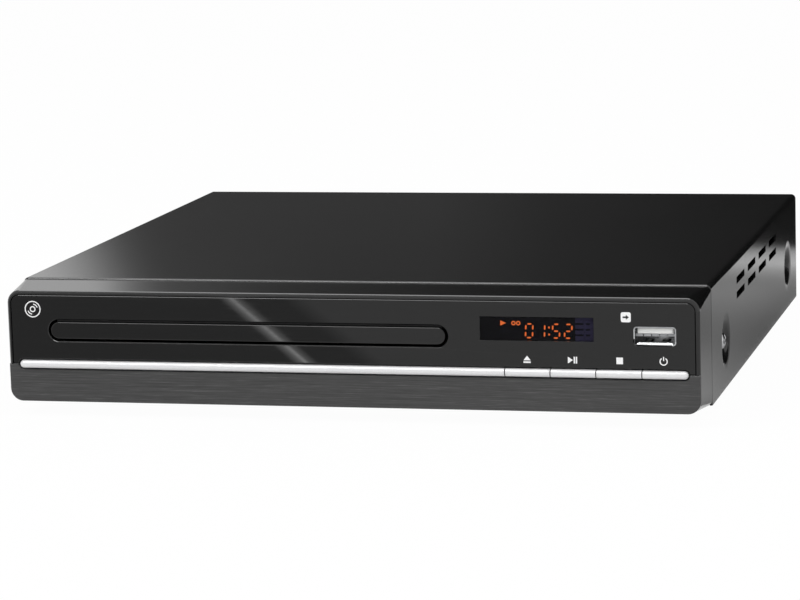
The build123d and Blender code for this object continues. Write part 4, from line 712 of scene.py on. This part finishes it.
def moulding(wall=0.5, post=1.7, beam=0.8):
    """A post at the left and a beam under the tongue, as one outline."""
    left, right = usb_low.x / mm + wall, usb_high.x / mm - wall
    foot, top = usb_low.z / mm + wall, tongue_low.z / mm
    return [(left, foot), (left + post, foot), (left + post, top - beam), (right, top - beam),
            (right, top), (left, top)]


def contact_band(count=5, pitch=2.5, width=2.2, drop=0.85, overlap=0.1):
    """The ends of the contacts, side by side below the tongue's front."""
    middle_z = tongue_low.z / mm - drop / 2 + overlap
    return [rectangle(usb_x / mm + pitch * (place - (count - 1) / 2), middle_z, width, drop)
            for place in range(count)]


# The first finish below is the contacts' own dull nickel, and also painted shade on the shell's top
# and right edge.
grained_finish("dull_nickel_and_painted_shade", shade(128, 129, 131), shade(152, 153, 155), (0.45, 0.6),
               lump=0.2 * mm, lift=0.004 * mm, cloud=2 * mm)
# The second finish below is painted shadow: near-black and matt, for the gap at the mouth's lower
# left and under its lip.
grained_finish("painted_shadow_black", shade(5), shade(10), (0.6, 0.8), lump=0.2 * mm, lift=0.004 * mm,
               Specular_IOR_Level=0.1)
edge_thickness, moulding_thickness, contact_thickness = 0.02 * mm, 0.3 * mm, 0.2 * mm
moulding_sink, contact_sink = 4.0 * mm, 0.3 * mm
# The shell's top and right edge, greyed as painted shade.
raised_plate("usb_painted_shade_rim", painted_shade_outline(), usb_low.y, edge_thickness, "dull_nickel_and_painted_shade")
# A black plate of painted shadow on the shell's lower left and bottom edge.
raised_plate("usb_painted_shadow", painted_shadow_outline(), usb_low.y, edge_thickness, "painted_shadow_black")
raised_plate("usb_moulding", [moulding()], usb_low.y + moulding_sink, moulding_thickness,
             "black_plastic")
raised_plate("usb_contacts", contact_band(), tongue_low.y + contact_sink, contact_thickness,
             "dull_nickel_and_painted_shade")
print("edges, moulding and contacts in the USB socket")

# %% Roll the lip and bow the springs
spring_apart = 2.6 * mm
flared_lip("usb_lip")
for name, side in (("usb_spring_left", -1), ("usb_spring_right", 1)):
    bowed_spring(name, usb_x + side * spring_apart)
print("lip and two springs in the USB socket")

# %% [markdown]
# ## Collars on the phono sockets
#
# At the back the four phono barrels stand in coloured collars, so that a cable's plugs find their
# partners: yellow for the picture, white and red for sound, orange for digital sound.

# %% Turn a collar round each barrel
jack_low, jack_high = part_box("rca_barrels")
panel_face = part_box("rear_panel")[1].y
jack_radius = (jack_high.z - jack_low.z) / 2


def turned_collar(name, x, colour, width=1.3 * mm, thick=1.1 * mm, clear=0.05 * mm,
                  rounding=((0, 0.55), (0.12, 0.85), (0.35, 1)), dark_share=0.9, steps=48):
    """A ring with a rounded outer edge, flat against the rear panel."""
    inner, outer = jack_radius + clear, jack_radius + width
    edge = [(outer - inward * width, rise * thick) for inward, rise in rounding]
    profile = [(inner, 0), (outer, 0)] + edge + [(inner, thick)]
    middle_z = (jack_low.z + jack_high.z) / 2
    points, faces, around = [], [], len(profile)
    for step in range(steps):
        turn = 2 * math.pi * step / steps
        points += [(x + r * math.cos(turn), panel_face + out, middle_z + r * math.sin(turn))
                   for r, out in profile]
        here, ahead = step * around, (step + 1) % steps * around
        faces += [(here + i, here + (i + 1) % around, ahead + (i + 1) % around, ahead + i)
                  for i in range(around)]
    mesh = bpy.data.meshes.new(name)
    mesh.from_pydata(points, [], faces)
    grained_finish(name, shade(*(dark_share * c for c in colour)), shade(*colour), (0.34, 0.46),
                   lump=0.25 * mm, lift=0.006 * mm, cloud=3 * mm)
    add_piece(name, mesh, name)


collar_colours = {"collar_orange": (216, 108, 30), "collar_red": (176, 28, 26),
                  "collar_white": (226, 226, 222), "collar_yellow": (224, 184, 22)}
jack_pitch = (jack_high.x - jack_low.x - 2 * jack_radius) / (len(collar_colours) - 1)
for place, (name, colour) in enumerate(collar_colours.items()):
    turned_collar(name, jack_low.x + jack_radius + jack_pitch * place, colour)
print("collars on", len(collar_colours), "phono barrels")

# %% [markdown]
# ## The screws in the sides
#
# Near the front of each side a screw holds the cover. Its head is a low dome with a cross punched
# into it, and the two make it glint in its dish. The dome fits over the turned head.

# %% Helpers: the head's place and height
def screw_head(side, cover_face, inward=2.3 * mm, rim_share=0.95):
    """How far out the head's rim stands, its radius and its middle."""
    screws = nodes["cover_screws"]
    spots = [screws.matrix_world @ corner.co for corner in screws.data.vertices]
    head = [(side * spot.x, spot.y, spot.z) for spot in spots
            if side * spot.x > cover_face - inward and spot.y < 0]
    (y_low, y_high), (z_low, z_high) = [(min(axis), max(axis)) for axis in list(zip(*head))[1:]]
    middle_y, middle_z, radius = (y_low + y_high) / 2, (z_low + z_high) / 2, (y_high - y_low) / 2
    rim = max(out for out, y, z in head
              if math.hypot(y - middle_y, z - middle_z) > rim_share * radius)
    return rim, radius, middle_y, middle_z


def soft_step(edge, value, blur):
    """1 well inside the edge, 0 well outside it, and a smooth step between."""
    share = min(1.0, max(0.0, 0.5 + (edge - value) / blur))
    return share * share * (3 - 2 * share)


def head_height(along, across, radius, rise, width=0.9 * mm, reach=1.9 * mm, depth=0.75 * mm,
                taper=0.5, blur=0.16 * mm):
    """The dome's height, less a cross that grows shallow towards its ends."""
    dome = rise * math.sqrt(max(0.0, 1 - (along ** 2 + across ** 2) / radius ** 2))
    near, far = sorted((abs(along), abs(across)))
    within = soft_step(width / 2, near, blur) * soft_step(reach, far, blur)
    return max(0.0, dome - depth * (1 - taper * far / reach) * within)


print("screw heads ready")

# %% Dome the side screws
def domed_head(name, side, clear=0.1 * mm, rings=28, spokes=72):
    """A dome on the head's rim, up to just under the cover's face."""
    cover_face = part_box("top_cover")[1].x
    rim, radius, middle_y, middle_z = screw_head(side, cover_face)
    rise = cover_face - clear - rim
    dome = bmesh.new()

    def corner(along, across):
        out = rim + head_height(along, across, radius, rise)
        return dome.verts.new((side * out, middle_y + along, middle_z + across))

    middle = corner(0, 0)
    turns = [2 * math.pi * spoke / spokes for spoke in range(spokes)]
    rows = []
    for reach in (radius * ring / rings for ring in range(1, rings + 1)):
        rows.append([corner(reach * math.cos(turn), reach * math.sin(turn)) for turn in turns])
    for spoke in range(spokes):
        following = (spoke + 1) % spokes
        dome.faces.new((middle, rows[0][spoke], rows[0][following]))
        for inner, outer in zip(rows, rows[1:]):
            dome.faces.new((inner[spoke], outer[spoke], outer[following], inner[following]))
    dome.faces.new(rows[-1])
    mesh = close_shape(name, dome, smooth=True)
    add_piece(name, mesh, "black_screw")


for name, side in (("screw_dome_left", -1), ("screw_dome_right", 1)):
    domed_head(name, side)
print("domed the side screws")

# %% [markdown]
# ## Camera
#
# The picture was taken from the front right, a little above, with a long lens from a bit over a
# metre away. The place and the three turns below were solved from the player's straight edges.

# %% Set the camera
camera_place = Vector((268.01, -1094.4, 209.32)) * mm
swing, dip, roll = (math.radians(angle) for angle in (-14.311, 9.552, -1.705))
focal_length, sensor_width = 148.72, 36
turn = (Matrix.Rotation(roll, 3, "Y") @ Matrix.Rotation(dip, 3, "X")
        @ Matrix.Rotation(swing, 3, "Z"))
right, ahead, up = turn.row
aim = Matrix((right, up, -ahead)).transposed().to_4x4()
lens = bpy.data.cameras.new("camera")
lens.lens, lens.sensor_width, lens.sensor_fit = focal_length, sensor_width, "HORIZONTAL"
camera = bpy.data.objects.new("camera", lens)
camera.matrix_world = Matrix.Translation(camera_place) @ aim
scene.collection.objects.link(camera)
scene.camera = camera
print("camera looks", round(math.degrees(dip), 1), "degrees down")

# %% [markdown]
# ## Floor and soft light
#
# The player stands on pale paper. The world gives an even, plain light, and two wide lamps add a
# little direction. To the camera, and in gloss and glass, the surroundings are plain white, and
# the paper nearly so.

# %% Lay the floor
def white_to_the_eye(tree):
    """1 where a ray comes from the camera or from gloss or glass, 0 for the light on surfaces."""
    path = add_node(tree, "LightPath").outputs
    either = combine(tree, "MAXIMUM", path["Is Camera Ray"], path["Is Glossy Ray"])
    return combine(tree, "MAXIMUM", either, path["Is Transmission Ray"])


def stage_finish(mesh, name):
    """A new material on the mesh, with an empty tree."""
    finish = bpy.data.materials.new(name)
    finish.use_nodes = True
    finish.node_tree.nodes.clear()
    mesh.materials.append(finish)
    return finish.node_tree


def link_stage(name, mesh):
    made = bpy.data.objects.new(name, mesh)
    scene.collection.objects.link(made)
    return made


def pale_floor(half=6.0, white_share=0.97, lump=4 * mm):
    """Paper to the light, and nearly plain white to the eye."""
    mesh = bpy.data.meshes.new("floor")
    corners = [(-half, -half, 0), (half, -half, 0), (half, half, 0), (-half, half, 0)]
    mesh.from_pydata(corners, [], [(0, 1, 2, 3)])
    tree = stage_finish(mesh, "floor")
    tone = mottled(tree, grain(tree, lump), shade(243), shade(247))
    paper = add_node(tree, "BsdfDiffuse", {"Color": tone}).outputs[0]
    plain = add_node(tree, "Emission", {"Color": white, "Strength": 1.0}).outputs[0]
    share = combine(tree, "MULTIPLY", white_to_the_eye(tree), white_share)
    mix = add_node(tree, "MixShader", {"Fac": share, 1: paper, 2: plain})
    add_node(tree, "OutputMaterial", {"Surface": mix.outputs[0]})
    link_stage("floor", mesh)


pale_floor()
print("floor laid")

# %% Light the room
def even_world(strength=0.62):
    """A plain world, dimmer as a light than it looks."""
    scene.world = bpy.data.worlds.new("studio")
    scene.world.use_nodes = True
    tree = scene.world.node_tree
    tree.nodes.clear()
    level = between(tree, white_to_the_eye(tree), strength, 1.0, 0, 1)
    glow = add_node(tree, "Background", {"Color": white, "Strength": level})
    add_node(tree, "OutputWorld", {"Surface": glow.outputs[0]})


def soft_lamp(name, place, width, height, watts, target=(0, 0, 0.02)):
    """A wide lamp that lights surfaces but doesn't show as a shape in the gloss."""
    data = bpy.data.lights.new(name, "AREA")
    data.shape, data.size, data.size_y, data.energy = "RECTANGLE", width, height, watts
    lamp = bpy.data.objects.new(name, data)
    lamp.location = place
    way = Vector(target) - Vector(place)
    lamp.rotation_euler = way.to_track_quat("-Z", "Y").to_euler()
    lamp.visible_glossy = False
    scene.collection.objects.link(lamp)


even_world()
soft_lamp("key_lamp", (-0.7, -0.9, 1.1), width=1.0, height=0.8, watts=9)
soft_lamp("fill_lamp", (0.9, -0.5, 0.7), width=0.8, height=0.8, watts=4)
print("lit by the world and two lamps")

# %% [markdown]
# ## Cards for the gloss
#
# A photographer shapes what shiny black surfaces show with cards: black ones to deepen them,
# white ones to draw a streak. A card only matters where the camera sees it mirrored. The front
# card is laid out by following the camera's look to the fascia and on to the card, and the others
# stand where the top, the side and the rims look. The cards show in gloss alone.

# %% Helpers: where a card belongs
def seen_in(point, mirror_axis, wall_axis, wall_at):
    """Where the camera, looking at a point of a flat face, sees a wall mirrored in it."""
    eye = camera_place.copy()
    eye[mirror_axis] = 2 * point[mirror_axis] - eye[mirror_axis]
    way = point - eye
    return point + way * ((wall_at - point[wall_axis]) / way[wall_axis])


def gloss_card(name, rows, levels):
    """A card from rows of points, each with its own brightness, seen only in gloss."""
    across = len(rows[0])
    points = [tuple(point) for row in rows for point in row]
    starts = [row * across + column for row in range(len(rows) - 1) for column in range(across - 1)]
    faces = [(i, i + 1, i + across + 1, i + across) for i in starts]
    mesh = bpy.data.meshes.new(name)
    mesh.from_pydata(points, [], faces)
    glow = mesh.attributes.new("brightness", "FLOAT", "POINT")
    glow.data.foreach_set("value", [level for row in levels for level in row])
    tree = stage_finish(mesh, name)
    level = add_node(tree, "Attribute", attribute_name="brightness").outputs["Fac"]
    light = add_node(tree, "Emission", {"Color": white, "Strength": level})
    add_node(tree, "OutputMaterial", {"Surface": light.outputs[0]})
    card = link_stage(name, mesh)
    card.visible_camera = card.visible_diffuse = False
    card.visible_shadow = card.visible_transmission = False


print("cards ready")

# %% The card in front, for the acrylic's streak
card_lift = 0.5 * mm
# Each stop is a column's place in millimetres at the fascia's top and bottom, and its brightness.
streak_stops = ((-150, -150, 0.42), (-41.2, -15.2, 0.42), (-38.4, -12.2, 2.0),
                (-36.9, -10.6, 4.4), (-35.8, -9.5, 1.7), (-32.6, -6.4, 0.42),
                (-20.5, 7.0, 0.42), (-12.5, 15.0, 0.8), (130, 130, 0.8))


def front_card():
    """Columns lean across the fascia from its top to its bottom, so the streak runs aslant."""
    rows = []
    for share in (0.0, 1.0):
        z = fascia_low.z + (fascia_high.z - fascia_low.z) * share
        spots = [Vector(((low + (top - low) * share) * mm, fascia_low.y, z))
                 for top, low, _ in streak_stops]
        rows.append([seen_in(spot, mirror_axis=1, wall_axis=2, wall_at=card_lift)
                     for spot in spots])
    gloss_card("front_card", rows, [[level for _, _, level in streak_stops]] * len(rows))


front_card()
print("front card laid with", len(streak_stops), "stops")

# %% The flag behind, for the dark top
flag_distance, white_edge, edge_lean, lean_from, bezel_from = 0.7, -0.382, 0.5, 0.165, 0.242
# Each row is a height, how bright its dark part is, and 1 where the bezel looks, or else 0.
flag_rows = ((0.0, 1.0, 0), (0.1, 1.0, 0), (0.17, 1.0, 0), (0.22, 0.6, 0),
             (bezel_from, 0.57, 1), (0.3, 0.5, 1), (0.6, 0.5, 1), (1.0, 0.5, 1))


def back_flag(bright=0.98, dusk=0.075, soft=0.025, tail_in=0.023, tail_crisp=0.014):
    """Dark all along the back, and white to the left of an edge that leans to the right.

    High up, where the bezel looks, the edge is sharper and fades out over a grey tail."""
    rows, levels = [], []
    for z, dim, tail in flag_rows:
        edge = white_edge + edge_lean * (min(z, bezel_from) - lean_from) - tail_in * tail
        blur = soft - tail_crisp * tail
        stops = ((-1.6, bright), (edge - blur, bright), (edge + blur, dusk + 0.265 * tail),
                 (edge + 0.028, dusk + 0.115 * tail),
                 (edge + 0.1, 0.045 + 0.03 * dim + 0.022 * tail), (-0.17, 0.07 * dim),
                 (-0.1, 0.042 * dim), (0.03, 0.018 * dim), (0.2, 0.006), (1.6, 0.004))
        rows.append([Vector((x, flag_distance, z)) for x, _ in stops])
        levels.append([level for _, level in stops])
    gloss_card("back_flag", rows, levels)


back_flag()
print("back flag stands", flag_distance, "m behind")

# %% The card at the right, for the side
# Stops run from the front to the back, as (y, brightness).
side_stops = ((-0.30, 0.62), (-0.06, 0.54), (-0.02, 0.37), (0.006, 0.295), (0.032, 0.24),
              (0.058, 0.23), (0.083, 0.25), (0.136, 0.33), (0.165, 0.39), (0.186, 0.56),
              (0.205, 0.92), (0.228, 0.72), (0.240, 0.50), (0.247, 0.12), (0.255, 0.012),
              (0.69, 0.004))
# Rows run outwards from the cover, as (distance, gain), and the gain ends behind the player.
side_rows, gain_until = ((0.002, 0.69), (0.010, 0.97), (0.026, 1.36), (0.5, 1.38)), 0.15


def side_card():
    """Pale in front, grey along the player, bright just behind it and dark beyond."""
    side_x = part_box("top_cover")[1].x
    rows = [[Vector((side_x + out, y, card_lift)) for y, _ in side_stops] for out, _ in side_rows]
    levels = [[level * (gain if y < gain_until else 1.0) for y, level in side_stops]
              for _, gain in side_rows]
    gloss_card("side_card", rows, levels)


side_card()
print("side card laid with", len(side_stops), "stops")

# %% The cards overhead, for the rims
def rim_card(name, near, far, level, left=-0.75, right=0.3, height=1.2):
    """A bright sheet above, which the rounded rims show as thin lines."""
    rows = [[Vector((x, y, height)) for x in (left, right)] for y in (near, far)]
    gloss_card(name, rows, [[level, level]] * len(rows))


rim_card("front_rim_card", near=-1.05, far=-0.55, level=14)
rim_card("back_rim_card", near=0.10, far=0.85, level=4)
print("two rim cards hung")

# %% [markdown]
# ## Finish
#
# Colours are shown as they are, with no film curve.

# %% Show colours as they are
scene.view_settings.view_transform = "Standard"
